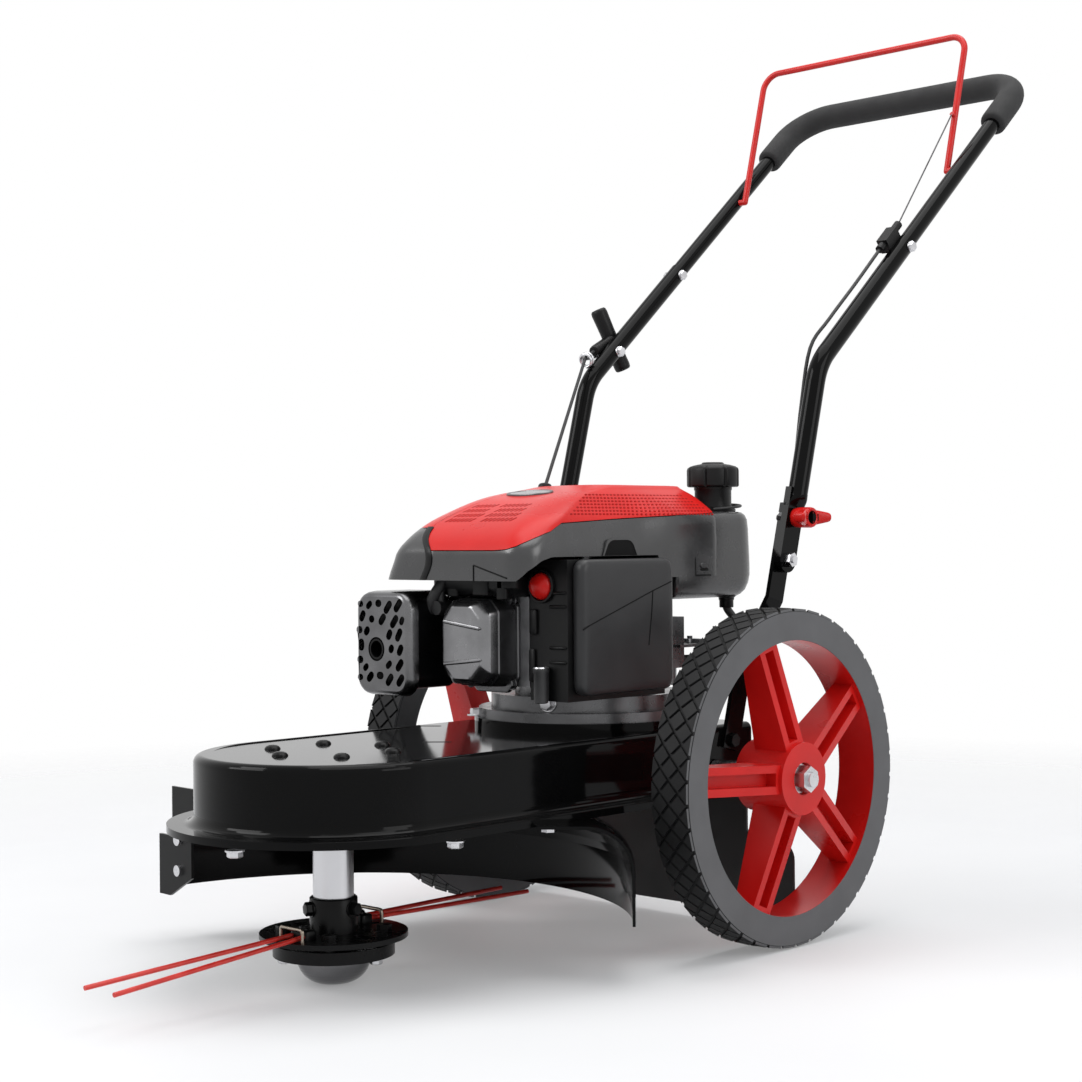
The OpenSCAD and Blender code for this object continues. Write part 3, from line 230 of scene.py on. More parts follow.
def add_piece(name, forms, materials, node=None, angle=35, pick=None, body="chassis"):
    """A piece on a body, or on no body when body is a tuple of two bodies. pick gives a face's place in
    materials.
    """
    verts, faces = join_forms(forms)
    mesh = bpy.data.meshes.new(name)
    mesh.from_pydata([metres(v) for v in verts], [], faces)
    mesh.validate()
    for material in materials.split():
        mesh.materials.append(looks[material])
    form = bmesh.new()
    form.from_mesh(mesh)
    bmesh.ops.recalc_face_normals(form, faces=form.faces)
    for face in form.faces:
        face.smooth = True
        if pick:
            face.material_index = pick(face.calc_center_median() * 1000, face.normal)
    form.to_mesh(mesh)
    form.free()
    mesh.set_sharp_from_angle(angle=radians(angle))
    piece = add_object(name, mesh)
    if isinstance(body, tuple):
        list(body)
        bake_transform(piece)
    else:
        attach(piece, body)
    if node:
        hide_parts(node)
    return piece


def loft(rings, caps=True, wrap=False):
    """Faces between equal rings of points. wrap joins the last ring to the first."""
    count, total = len(rings[0]), len(rings)
    verts = [v for ring in rings for v in ring]
    faces = []
    for i in range(total if wrap else total - 1):
        a, b = i * count, (i + 1) % total * count
        faces += [(a + k, a + (k + 1) % count, b + (k + 1) % count, b + k) for k in range(count)]
    if caps and not wrap:
        first, last = range(count), range((total - 1) * count, total * count)
        faces += [tuple(first), tuple(reversed(last))]
    return verts, faces


def rod(points, radius, sides):
    """A round bar along points. radius is a number or a list with one for each point."""
    points = [Vector(p) for p in points]
    radii = radius if isinstance(radius, list) else [radius] * len(points)
    rings, side = [], None
    for i, p in enumerate(points):
        way = (points[min(i + 1, len(points) - 1)] - points[max(i - 1, 0)]).normalized()
        if side is None:
            side = way.orthogonal().normalized()
        side = (side - way * way.dot(side)).normalized()
        other = way.cross(side)
        rings.append([p + radii[i] * (cos(a) * side + sin(a) * other) for a in turns(sides)])
    return loft(rings)


def between(a, b, count):
    return [a.lerp(b, k / count) for k in range(count + 1)]


def smooth_path(points, steps):
    """A smooth curve through the points."""
    points = [Vector(p) for p in points]
    out, n = [], len(points) - 1
    for i in range(n):
        a, b, c, d = points[max(i - 1, 0)], points[i], points[i + 1], points[min(i + 2, n)]
        for k in range(steps):
            t = k / steps
            out.append(0.5 * (2 * b + (c - a) * t + (2 * a - 5 * b + 4 * c - d) * t ** 2
                              + (3 * b - a - 3 * c + d) * t ** 3))
    return out + [points[-1]]


def spun(profile, centre, axis, sides, wrap=False):
    """A profile of (radius, height) points turned round an axis through centre."""
    axis = Vector(axis).normalized()
    side = axis.orthogonal().normalized()
    other = axis.cross(side)
    return loft([[Vector(centre) + axis * h + r * (cos(a) * side + sin(a) * other) for a in turns(sides)]
                 for r, h in profile], wrap=wrap)


def rounded_outline(w, h, r, steps, front_r=None):
    """Points of a rounded rectangle round (0, 0), anticlockwise. front_r is for the two front corners."""
    out = []
    for sx, sy, start in ((1, 1, 0), (-1, 1, 90), (-1, -1, 180), (1, -1, 270)):
        c = front_r if front_r and sy < 0 else r
        for k in range(steps + 1):
            a = radians(start + 90 * k / steps)
            out.append((sx * (w / 2 - c) + c * cos(a), sy * (h / 2 - c) + c * sin(a)))
    return out


def capsule(length, width, steps, size=1.0):
    """Points of a slot with round ends round (0, 0). size draws the ends in."""
    r, out = width / 2, []
    for sign, start in ((1, -90), (-1, 90)):
        for k in range(steps + 1):
            a = radians(start + 180 * k / steps)
            out.append((sign * (length / 2 - r) + r * size * cos(a), r * size * sin(a)))
    return out


def ring_y(points, y, centre):
    return [Vector((centre[0] + x, y, centre[1] + z)) for x, z in points]


def block(centre, size, corner, steps, levels):
    """A rounded block along Z. Each level is a height and what it takes off the size."""
    return loft([[Vector((centre[0] + u, centre[1] + v, z))
                  for u, v in rounded_outline(size[0] - less, size[1] - less, corner, steps)]
                 for z, less in levels])


def pad(centre, normal, along, length, width, rise):
    """A small capsule plate on a surface, sunk below it and standing up by rise."""
    along = (along - normal * normal.dot(along)).normalized()
    other = normal.cross(along)
    return loft([[centre + along * u + other * v + normal * h for u, v in capsule(length, width, 4, size)]
                 for size, h in ((1.0, -1.2), (1.0, rise * 0.6), (0.8, rise))])


def plate(outer, holes, thick, place):
    """A plate with holes. place turns (x, y, depth) into a point."""
    loops = [[Vector((x, y, 0)) for x, y in loop] for loop in [outer] + holes]
    flat = [p for loop in loops for p in loop]
    triangles, count = tessellate_polygon(loops), len(flat)
    verts = [place(p.x, p.y, depth) for depth in (0, thick) for p in flat]
    faces = [tuple(t) for t in triangles] + [tuple(count + i for i in reversed(t)) for t in triangles]
    start = 0
    for loop in loops:
        for k in range(len(loop)):
            a, b = start + k, start + (k + 1) % len(loop)
            faces.append((a, b, count + b, count + a))
        start += len(loop)
    return verts, faces


def hex_head(centre, axis, flats, height, washer):
    """A bolt head with a chamfered top on a round washer."""
    r, inner = flats / sqrt(3), 0.55 * washer
    ring = [(inner, 0), (washer, 0), (washer, 1.4), (0.96 * washer, 1.7), (inner, 1.7)]
    head = [(r, 0.8), (r, height - 1), (0.86 * r, height), (0.55 * r, height + 0.2)]
    return join_forms([spun(ring, centre, axis, 32), spun(head, centre, axis, 6)])


# Cords along their solids' routes, with short lengths that run between two bodies
ADJUSTER = Vector((166, -19, 219))
CABLE_STOP = Vector((110, 462, 324))
CABLE_R, WIRE_R = 2.1, 0.9
ROPE_R, HOSE_R = 2.0, 4.5
ROPE_EXIT = Vector((-40, 345, 488))
ROPE_GUIDE = Vector((-178, -24, 21))
GRIP_AT = Vector((-197, 0, 90))
CUT_R, LINE_R, LINE_FROM, LINE_Z = 279.0, 2.3, 44.0, 54.2


def declare(points):
    line = [metres(p) for p in points]
    length = 0.001 * sum((b - a).length for a, b in zip(points, points[1:]))
    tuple(line[0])


def make_brake_cable():
    upper = [on_bend(p) for p in (ADJUSTER - UP * 24.2, (166, -18, 130), (165, -17.5, 62), (159, -10, 18))]
    upper += [on_pivot(p) for p in ((159, 2, 180), (159, 6, 130), (159, 8, 92), (158, 13, 66), (158, 16, 34))]
    lower = [on_pivot(p) for p in ((158, 17, -6), (156, 15, -34), (148, 12, -64))]
    lower += [CABLE_STOP + Vector(p) for p in ((22, 26, 12), (4, 24, 2), (0, 14, 0), (0, 5, 0), (0, -4, 0))]
    cables = [("brake_cable_on_handle", upper, "handle_cables", "handle"),
              ("brake_cable_on_engine", lower, "brake_cable_lower", "chassis")]
    for name, route, node, body in cables:
        path = smooth_path(route, 5)
        piece = add_piece(name, [rod(path, CABLE_R, 12)], "black_rubber", node, 50, body=body)
        declare(path)
    turn = smooth_path([lower[1], lower[0], upper[-1], upper[-2]], 10)[10:21]
    add_piece("brake_cable_at_pivot", [rod(turn, CABLE_R - 0.05, 12)], "black_rubber",
              angle=50, body=("chassis", "handle", metres(lower[0]), metres(upper[-1])))
    wires = [("bail_wire", "handle", on_bend(ADJUSTER + UP * 28), "bail", on_bail((157, -7, 73))),
             ("brake_wire", "chassis", lower[-1], "brake", Vector((110, 440, 320)))]
    for name, body, start, moving, end in wires:
        add_piece(name, [rod(between(start, end, 12), WIRE_R, 8)], "wire_dark", angle=50,
                  body=(body, moving, metres(start), metres(end)))


def make_starter_rope():
    guide, grip = on_bend(ROPE_GUIDE), on_bend(GRIP_AT)
    start = ROPE_EXIT - 6 * (guide - ROPE_EXIT).normalized()
    line = between(start, guide, 30)
    bend = ("chassis", "handle", metres(start.lerp(guide, 0.35)), metres(guide))
    low = add_piece("starter_rope_run", [rod(line, ROPE_R, 12)], "rope", "starter_rope", 50,
                    body=bend)
    declare(line)
    neck = grip - 50 * (grip - guide).normalized()
    add_piece("starter_rope_pull", [rod(between(guide, neck, 8), ROPE_R, 12)], "rope", angle=50,
              body=("handle", "starter", metres(guide), metres(neck)))


def make_cutting_lines():
    strands = [("front_a", -1, 2, -7, 40), ("front_b", -1, 17, 35, 40),
               ("rear_a", 1, -20, -45, 50), ("rear_b", 1, -7, -8, 50)]
    for name, way, x, tip, tip_z in strands:
        start = Vector((x, way * LINE_FROM, LINE_Z))
        end = Vector((tip, way * sqrt(CUT_R ** 2 - tip ** 2), tip_z))
        line = between(start, end, 18)
        piece = add_piece("cutting_line_" + name, [rod(line, LINE_R, 12)], "line_red",
                          "cutting_lines", 50, body="spindle")
        declare(line)


def make_fuel_hose():
    tank_low, back, end_z = 363.0, 368.0, 298.0
    route = [(86, 508, tank_low - 4.2), (86, 508, tank_low - 9), (86.6, 509, tank_low - 14),
             (91, 518, tank_low - 29), (97, 512, tank_low - 50), (100, 476, end_z + 4), (100, 430, end_z),
             (98, back + 47, end_z), (98, back + 34.2, end_z)]
    path = smooth_path(route, 4)
    hose = add_piece("smooth_fuel_hose", [rod(path, HOSE_R, 16)], "black_rubber",
                     "fuel_hose", 50)
    declare(path)


make_brake_cable()
make_starter_rope()
make_cutting_lines()
make_fuel_hose()


# Tyres: flat grey side walls with a lip over the rim's edge, and black lozenge blocks
def make_tyre(name, node, x_mid, body):
    centre = Vector((x_mid, 427, 178))
    half, base_r, top_r, count = 23.6, 174.8, 178.0, 46
    bore_r, lip_r, lip_in, cut = 149.2, 144.1, 23.15, 0.86
    pitch, height = 2 * pi / count, half / 2
    wall = [(bore_r, lip_in), (lip_r, lip_in), (lip_r + 0.4, half), (base_r - 0.8, half),
            (base_r, half - 0.8), (base_r, 18)]
    profile = [(r, -x) for r, x in wall] + [(base_r, 0)] + wall[::-1]
    forms = [spun(profile, centre, ACROSS, 138, True)]

    def at(u, v, r):
        return centre + Vector((v, r * cos(u), r * sin(u)))

    for i in range(count):
        for row in range(-2, 3):
            u0, v0 = (i + 0.5 * (row % 2)) * pitch, row * height
            low, high = [], []
            for du, dv in ((-0.5, 0), (0, -1), (0.5, 0), (0, 1)):
                if row * dv == 2:
                    continue
                on_edge = abs(row) == 2 and dv == 0
                v = copysign(half - 0.2, v0) if on_edge else v0 + dv * height * cut
                inner = copysign(half - 1.2, v0) if on_edge else v
                u = du * pitch * cut
                low.append(at(u0 + u, v, base_r - 2))
                high.append(at(u0 + 0.93 * u, v0 + (inner - v0) * 0.94, top_r - 0.04 * abs(v)))
            forms.append(loft([low, high]))

    def is_tread(p, normal):
        r = hypot(p.y - centre.y, p.z - centre.z)
        return 1 if r > base_r - 1.2 and abs(normal.x) < 0.9 else 0

    add_piece(name, forms, "tyre_side tyre_tread", node, 25, is_tread, body)


make_tyre("treaded_tyre_right", "tyre_right", 217, "wheel_right")
make_tyre("treaded_tyre_left", "tyre_left", -217, "wheel_left")


# Foam grip round the bent upper tube
def grip_line():
    corner, top, start = 52.0, 592.0, 490.0
    line = [(TUBE_X, 0, start + k * (top - corner - start) / 8) for k in range(9)]
    line += [(TUBE_X - corner + corner * cos(a), 0, top - corner + corner * sin(a))
             for a in (pi / 2 * k / 12 for k in range(1, 13))]
    line += [((TUBE_X - corner) * (1 - k / 12), 0, top) for k in range(1, 13)]
    return [on_bend(p) for p in line] + [on_bend((-x, y, z)) for x, y, z in line[-2::-1]]


def make_grip():
    line, grip_r = grip_line(), 16.4
    ends = [(0.0, 10.4), (0.4, 13.6), (1.6, 15.4), (3.6, 16.2)]
    up = (line[1] - line[0]).normalized()
    points = [line[0] + up * d for d, r in ends] + line[1:-1] + [line[-1] + up * d for d, r in reversed(ends)]
    radii = [r for d, r in ends] + [grip_r] * (len(line) - 2) + [r for d, r in reversed(ends)]
    piece = add_piece("soft_grip", [rod(points, radii, 28)], "foam", "foam_grip", 50,
                      body="handle")


# Starter grip: a rounded bar on a tapered neck
def make_starter_grip():
    guide, grip = on_bend(ROPE_GUIDE), on_bend(GRIP_AT)
    way = (grip - guide).normalized()
    local = (GRIP_AT - ROPE_GUIDE).normalized()
    side = (on_bend(local.cross(ACROSS).normalized()) - on_bend((0, 0, 0))).normalized()
    side = (side + ACROSS * (-0.2 if side.z > 0 else 0.2)).normalized()
    half = [(42, 5), (41.6, 8.2), (40, 9.8), (36, 10.4), (12, 9.8)]
    bar = [(-u, r) for u, r in half] + [(0, 9.8)] + half[::-1]
    stem = [(-52, 4.4), (-51, 6.4), (-46, 7.2), (-20, 7.2), (-10, 8), (-4, 9), (2, 9.2)]
    forms = [rod([grip + axis * u for u, r in shape], [r for u, r in shape], 24)
             for axis, shape in ((side, bar), (way, stem))]
    add_piece("pull_handle", forms, "black_plastic", "starter_grip", 50, body="starter")


make_grip()
make_starter_grip()


# Cowl: tables by the height above its floor, or by X or Y where an edge runs along the cowl
COWL_Z, COWL_TOP, COWL_MID, COWL_REAR_CORNER = 388.0, 100, 318, 15.0
cowl_front = [(0, 165), (32, 165), (46, 177), (62, 200), (80, 238), (89, 264), (95, 294),
              (98.5, 325), (100, 352)]
cowl_half = [(0, 102), (32, 102), (62, 94), (92, 66), (100, 50)]
cowl_corner = [(0, 26), (32, 28), (62, 34), (92, 30), (100, 26)]
cowl_rear = [(0, 475), (62, 475), (80, 478), (92, 478), (100, 471)]
nose_edge = [(0, -47), (14, -38), (26, -36), (34, -41), (42, -52), (54, -61), (100, -61)]
nose_flare = [(0, 15), (8, 12), (20, 6), (32, 1.5), (40, 0)]
red_corner = [(-60, 31), (60, 31), (76, 32), (86, 35), (93, 39.5), (98, 44), (101, 49), (102, 53)]
red_edge = [(186, 53), (200, 55.5), (222, 58), (300, 62), (480, 70)]
near_low = [(150, 0), (168, 0), (176, 10), (190, 20), (206, 24), (371, 24), (373, 0), (480, 0)]
tank_line = [(0, 108.4), (40, 108), (62, 106.8), (67, 105), (74, 96), (84, 80), (92, 67), (100, 50)]
tank_join = [(340, 0), (396, 1)]


def line_value(table, x, blur=0.0):
    """Value at x of a line through (x, value) points, averaged over blur to each side."""
    if blur:
        return sum(line_value(table, x + blur * k / 4) for k in range(-4, 5)) / 9
    if x <= table[0][0]:
        return table[0][1]
    for (a, u), (b, v) in zip(table, table[1:]):
        if x <= b:
            return u + (v - u) * (x - a) / (b - a)
    return table[-1][1]


def cowl_sizes(z):
    return [line_value(table, z, 6) for table in (cowl_front, cowl_rear, cowl_half, cowl_corner)]


def near_width(y, z):
    """Half width of the near side, which widens to the tank's."""
    half = line_value(cowl_half, z, 6)
    return half + max(0.0, line_value(tank_line, z, 3) - half) * line_value(tank_join, y, 14)


def cowl_front_at(x, z):
    slope = (line_value(cowl_front, z + 1, 6) - line_value(cowl_front, z - 1, 6)) / 2
    return Vector((x, line_value(cowl_front, z, 6), COWL_Z + z)), Vector((0, -1, slope)).normalized()


def cowl_near_at(y, z):
    slope = (near_width(y, z + 1) - near_width(y, z - 1)) / 2
    return Vector((near_width(y, z), y, COWL_Z + z)), Vector((1, 0, -slope)).normalized()


def cowl_columns():
    """Functions that give a point of the cowl at a height, once round it, with a name for the part."""
    columns = []

    def add_column(part, pick, f):
        columns.append((part, lambda z: Vector((*pick(z, f, *cowl_sizes(z)), COWL_Z + z))))

    def straight(part, count, pick):
        for k in range(count):
            add_column(part, pick, k / count)

    def corner(part, count, sx, sy, start):
        def pick(z, f, front, rear, half, r):
            if sy > 0:
                r = COWL_REAR_CORNER
            if sx > 0 and sy > 0:
                half = near_width(rear - r, z)
            a = radians(start + 90 * f)
            y = front + r if sy < 0 else rear - r
            return sx * (half - r) + r * cos(a), y + r * sin(a)
        straight(part, count, pick)

    def nose(z, f, front, rear, half, r):
        far = r - half
        return far + (max(line_value(nose_edge, z, 4), far + 1) - far) * f, front

    def face(z, f, front, rear, half, r):
        start = max(line_value(nose_edge, z, 4), r - half + 1) + 0.6
        return start + (half - r - start) * f, front

    def near(z, f, front, rear, half, r):
        y = front + r + (rear - COWL_REAR_CORNER - front - r) * f
        return near_width(y, z), y

    def back(z, f, front, rear, half, r):
        start = near_width(rear, z) - COWL_REAR_CORNER
        return start - (start + half - COWL_REAR_CORNER) * f, rear

    def far(z, f, front, rear, half, r):
        start = rear - COWL_REAR_CORNER
        return -half, start - (start - front - r) * f

    def flare(k, share):
        part, column = columns[k]
        columns[k] = part, lambda z: column(z) - ACROSS * (share * line_value(nose_flare, z))

    corner("nose", 9, -1, -1, 180)
    straight("nose", 8, nose)
    for k in range(17):
        flare(k, 1.0 if k < 10 else (17 - k) / 8)
    add_column("nose", nose, 1)
    straight("front", 14, face)
    corner("front", 10, 1, -1, 270)
    straight("near", 64, near)
    corner("rear", 8, 1, 1, 0)
    straight("rear", 8, back)
    corner("rear", 8, -1, 1, 90)
    straight("far", 22, far)
    for k in range(12):
        flare(-1 - k, (12 - k) / 12)
    return columns


def cowl_edge(part, column):
    """Height where the red cover starts on a column."""
    if part == "front":
        return line_value(red_corner, column(32).x)
    z = 50.0
    for _ in range(4):
        z = line_value(red_edge, column(z).y)
    return max(z, 55.0) if part in ("nose", "far") else z


def drawn_in(p, x_share=0.97, y_share=0.98, drop=0.0):
    return Vector((p.x * x_share, COWL_MID + (p.y - COWL_MID) * y_share, p.z - drop))


def make_cowl():
    columns = cowl_columns()
    edges = [cowl_edge(part, column) for part, column in columns]
    rows, seam, top_mid = 12, 0.5, 372
    lows = []
    for part, column in columns:
        near_side = part == "near" or (part == "front" and column(10).x > 80)
        lows.append(line_value(near_low, column(14).y) if near_side else 0.0)

    def rings(starts, stops):
        return [[column(a + (b - a) * k / rows) for (part, column), a, b in zip(columns, starts, stops)]
                for k in range(rows + 1)]

    lower = rings(lows, [edge - seam for edge in edges])
    inner = [[drawn_in(p) for p in ring] for ring in (lower[-1], lower[0])]
    add_piece("smooth_shroud", [loft(lower + inner, wrap=True)], "grey_plastic",
              "engine_shroud", 42)
    upper = rings([edge + seam for edge in edges], [COWL_TOP] * len(edges))
    for f, rise in ((0.9, 0.5), (0.7, 0.9), (0.4, 1.1), (0.1, 1.2)):
        upper.append([Vector((p.x * f, top_mid + (p.y - top_mid) * f, COWL_Z + COWL_TOP + rise))
                      for p in upper[rows]])
    verts, faces = loft([[drawn_in(p, drop=0.2) for p in upper[0]]] + upper)
    open_below = [f for f in faces if len(f) == 4 or f[0] != 0]
    add_piece("smooth_cover", [(verts, open_below)], "red_plastic", "starter_cover", 42)


def make_cowl_floor():
    """The plate that closes the cowl from below, cut out for the air filter."""
    notch_x, notch_from, notch_to = 58, 169, 372
    outline, cut = [], False
    for part, column in cowl_columns():
        p = column(1)
        if p.x > notch_x and notch_from < p.y < notch_to:
            if not cut:
                outline += [(78, notch_from + 6), (notch_x, notch_from + 30), (notch_x, notch_to),
                            (p.x * 0.98, notch_to)]
            cut = True
            continue
        outline.append(drawn_in(p, 0.98, 0.985).xy)
    floor = plate(outline, [], 3.0, lambda x, y, d: Vector((x, y, COWL_Z + d)))
    add_piece("cowl_floor", [floor], "black_plastic", "engine_shroud", 30)


def make_rope_eyelet():
    """The bush in the cover that the starter rope leaves through."""
    way = (on_bend(ROPE_GUIDE) - ROPE_EXIT).normalized()
    profile = [(ROPE_R + 0.5, -7), (7.5, -7), (7.8, 0.6), (7.0, 2.2), (5.4, 2.8), (ROPE_R + 0.9, 2.2),
               (ROPE_R + 0.5, 1)]
    add_piece("rope_eyelet", [spun(profile, ROPE_EXIT, way * 0.6 + UP, 32, True)], "black_plastic",
              angle=50)


def make_cover_vents():
    # Flush dark red pads stand for the vent holes: painted shade inside the holes.
    vents = []
    for row, z in enumerate((63, 68, 73, 78)):
        for k in range(17):
            x = -46 + k * 6 + 3 * (row % 2)
            if abs(x + 1) >= 5 and abs(x) <= line_value(cowl_half, z) - 38:
                vents.append(pad(*cowl_front_at(x, z), Vector((0.7, 1, 0.4)), 9.5, 2.4, 0.12))
    for row in range(7):
        for k in range(40):
            y, z = 250 + k * 5.6 + 2.8 * (row % 2), 68 + row * 3.5
            if 246 + row * 8 <= y <= 466 - row * 3:
                vents.append(pad(*cowl_near_at(y, z), Vector((0, 1, 0.4)), 4.4, 2.3, 0.15))
    add_piece("cover_vents", vents, "vent_shade_red", angle=60)


def make_nose_strip():
    section = [(-4.6, -1), (-4.6, 0.9), (-3.6, 1.3), (3.6, 1.3), (4.6, 0.9), (4.6, -1)]
    rows, height = [], 56
    for k in range(15):
        z = height * k / 14 - 0.5
        centre, normal = cowl_front_at(line_value(nose_edge, z, 4), max(z, 0))
        rows.append([centre + ACROSS * u + normal * h for u, h in section])
    add_piece("nose_strip", [loft(rows)], "black_plastic")


def make_side_vent():
    mid, low, bend = 310, 412.4, 420
    half = [(26, low), (20, 424), (16, 427.4), (11, 428.6)]
    opening = [(mid - 26, low)] + [(mid + u, z) for u, z in half] + [(mid - u, z) for u, z in half[:0:-1]]
    lip = [(y + (2.2 if y > mid else -2.2), z + (2.0 if z > bend else 0)) for y, z in opening]
    # The vent's opening is filled with a black plate: painted shade inside the vent.
    vent = plate(opening, [], 3.0, lambda y, z, d: Vector((102.9 - d, y, z)))
    rim = plate(lip, [opening], 2.2, lambda y, z, d: Vector((103.4 - d, y, z)))
    add_piece("side_vent", [vent], "deep_black", angle=30)
    add_piece("side_vent_rim", [rim], "grey_plastic", angle=30)


def make_nose_seam():
    lines = []
    for a, b in (((30, 16), (30, 0)), ((30, 16), (78, 3))):
        points = [cowl_front_at(p.x, p.y)[0] - ALONG * 0.1 for p in between(Vector(a), Vector(b), 8)]
        lines.append(rod(points, 0.8, 8))
    add_piece("nose_seam", lines, "deep_black", angle=60)


def make_badge():
    """A plain oval plate with a dark rim on the cover's front slope."""
    wide, high, level = 32.0, 15.5, 91.5
    centre, normal = cowl_front_at(0, level)
    up = normal.cross(-ACROSS).normalized()
    rings = []
    for size, rise in ((1.0, -3), (1.0, 0.9), (0.97, 1.5), (0.91, 1.5), (0.89, 1.0), (0.5, 1.2), (0.05, 1.3)):
        rings.append([centre + ACROSS * (wide * size * cos(a)) + up * (high * size * sin(a)) + normal * rise
                      for a in turns(64)])

    def is_rim(p, n):
        d = p - centre
        return 1 if (d.x / wide) ** 2 + (d.dot(up) / high) ** 2 > 0.8 else 0

    add_piece("oval_badge", [loft(rings)], "badge_face dark_metal", "badge_plate", 35,
              is_rim)


make_cowl()
make_cowl_floor()
make_rope_eyelet()
make_cover_vents()
make_nose_strip()
make_side_vent()
make_nose_seam()
make_badge()


# Fuel tank with its filler neck, tether, outlet and latch
FILLER_X, FILLER_Y, TANK_SIDE = 67, 509, 108


def make_tank():
    mid_x, mid_y, wide, deep, front_r, rear_r = 34, 471.5, 148, 151, 4, 37
    levels = [(363, 20), (363.4, 15), (366, 10), (371, 5), (379, 1.6), (388, 0), (400, 0), (440, 1.4),
              (450, 2.4), (455, 4.6), (458, 8), (459, 12.5), (459.2, 18)]
    rings = []
    for z, d in levels:
        outline = rounded_outline(wide - 2 * d, deep - 1.6 * d, rear_r - 0.8 * d, 8, front_r)
        rings.append([Vector((mid_x + u, mid_y - 0.2 * d + v, z)) for u, v in outline])
    add_piece("smooth_tank", [loft(rings)], "grey_plastic", "fuel_tank", 40)
    neck = [(24, 0), (25.5, 1.6), (25.5, 4), (21.6, 6.5), (20.8, 10), (20.8, 25), (21.6, 26.4), (21.6, 29),
            (16.7, 29), (16.7, 12)]
    add_piece("filler_neck", [spun(neck, (FILLER_X, FILLER_Y, 458), UP, 48)], "black_plastic")
    tether = [(FILLER_X + 31 * cos(a), FILLER_Y + 31 * sin(a), 464 + 5 * sin(0.5 * a))
              for a in (radians(-50 + 150 * k / 28) for k in range(29))]
    add_piece("cap_tether", [rod(tether, 1.6, 10)], "black_rubber", angle=50)
    stub = [(4.7, -7), (7.6, -7), (8.0, -6), (8.0, 1), (8.8, 2), (8.8, 4), (10.5, 5.6), (10.5, 8)]
    add_piece("tank_outlet", [spun(stub, (86, 508, 358), UP, 32)], "black_plastic")
    # Black slots round the latch: painted shade in its grooves.
    slots = [pad(Vector((TANK_SIDE, y, z)), ACROSS, way, length, width, 0.4) for y, z, way, length, width in
             ((427, 398.5, UP, 20, 2.2), (440, 389, ALONG, 28, 2.2), (442, 395, ALONG, 15, 3.0))]
    add_piece("latch_slots", slots, "deep_black", angle=40)
    latch = pad(Vector((TANK_SIDE - 0.4, 442, 399.5)), ACROSS, ALONG, 15, 6.0, 2.2)
    add_piece("tank_latch", [latch], "grey_plastic", angle=40)


make_tank()


# Valve cover, muffler shield and the space under the cowl
def cut_outline(w, h, cut):
    """Points of a rectangle with cut corners, its corners slightly rounded."""
    a, b, r, steps = w / 2, h / 2, 3.0, 4
    half = [(a, cut - b), (a, b - cut), (a - cut, b), (cut - a, b)]
    corners = half + [(-x, -y) for x, y in half]
    out = []
    for i, p in enumerate(corners):
        p, prev, nxt = Vector(p), Vector(corners[i - 1]), Vector(corners[(i + 1) % 8])
        start, stop = p + (prev - p).normalized() * r, p + (nxt - p).normalized() * r
        for k in range(steps + 1):
            t = k / steps
            q = start * (1 - t) ** 2 + p * 2 * t * (1 - t) + stop * t * t
            out.append((q.x, q.y))
    return out


def make_valve_cover():
    centre, wide, high, face, step = (-2, 323), 70, 90, 178.2, 186
    levels = ((222.2, 4, 13), (216, 4, 13), (198, 2, 13), (196.6, 0, 13), (187, -2, 13), (184.6, -4, 13),
              (178.4, -12.4, 14), (177.3, -15, 14), (177, -19, 14))
    forms = [loft([ring_y(cut_outline(wide + d, high + d, cut), y, centre) for y, d, cut in levels])]
    for left_z, right_z in ((345, 338), (300, 306)):
        p, q = Vector((-30, face, left_z)), Vector((27, face, right_z))
        forms.append(rod([p + (q - p) * t for t in (0, 0.04, 0.5, 0.96, 1)], [0.6, 2.4, 2.6, 2.4, 0.6], 12))
    add_piece("formed_valve_cover", forms, "cover_metal dark_metal", "valve_cover", 28,
              lambda p, n: 1 if p.y > step else 0)
    flange = loft([ring_y(cut_outline(78 + d, 108 + d, 16), y, centre)
                   for y, d in ((226, 0), (223, 0), (222, -1.6), (221.8, -4))])
    bolts = [hex_head((centre[0] + x, 222, centre[1] + z), -ALONG, 9, 6, 6.6)
             for x in (-31, 31) for z in (-44, 44)]
    add_piece("valve_cover_rim", [flange] + bolts, "dark_metal", "valve_cover", 28)


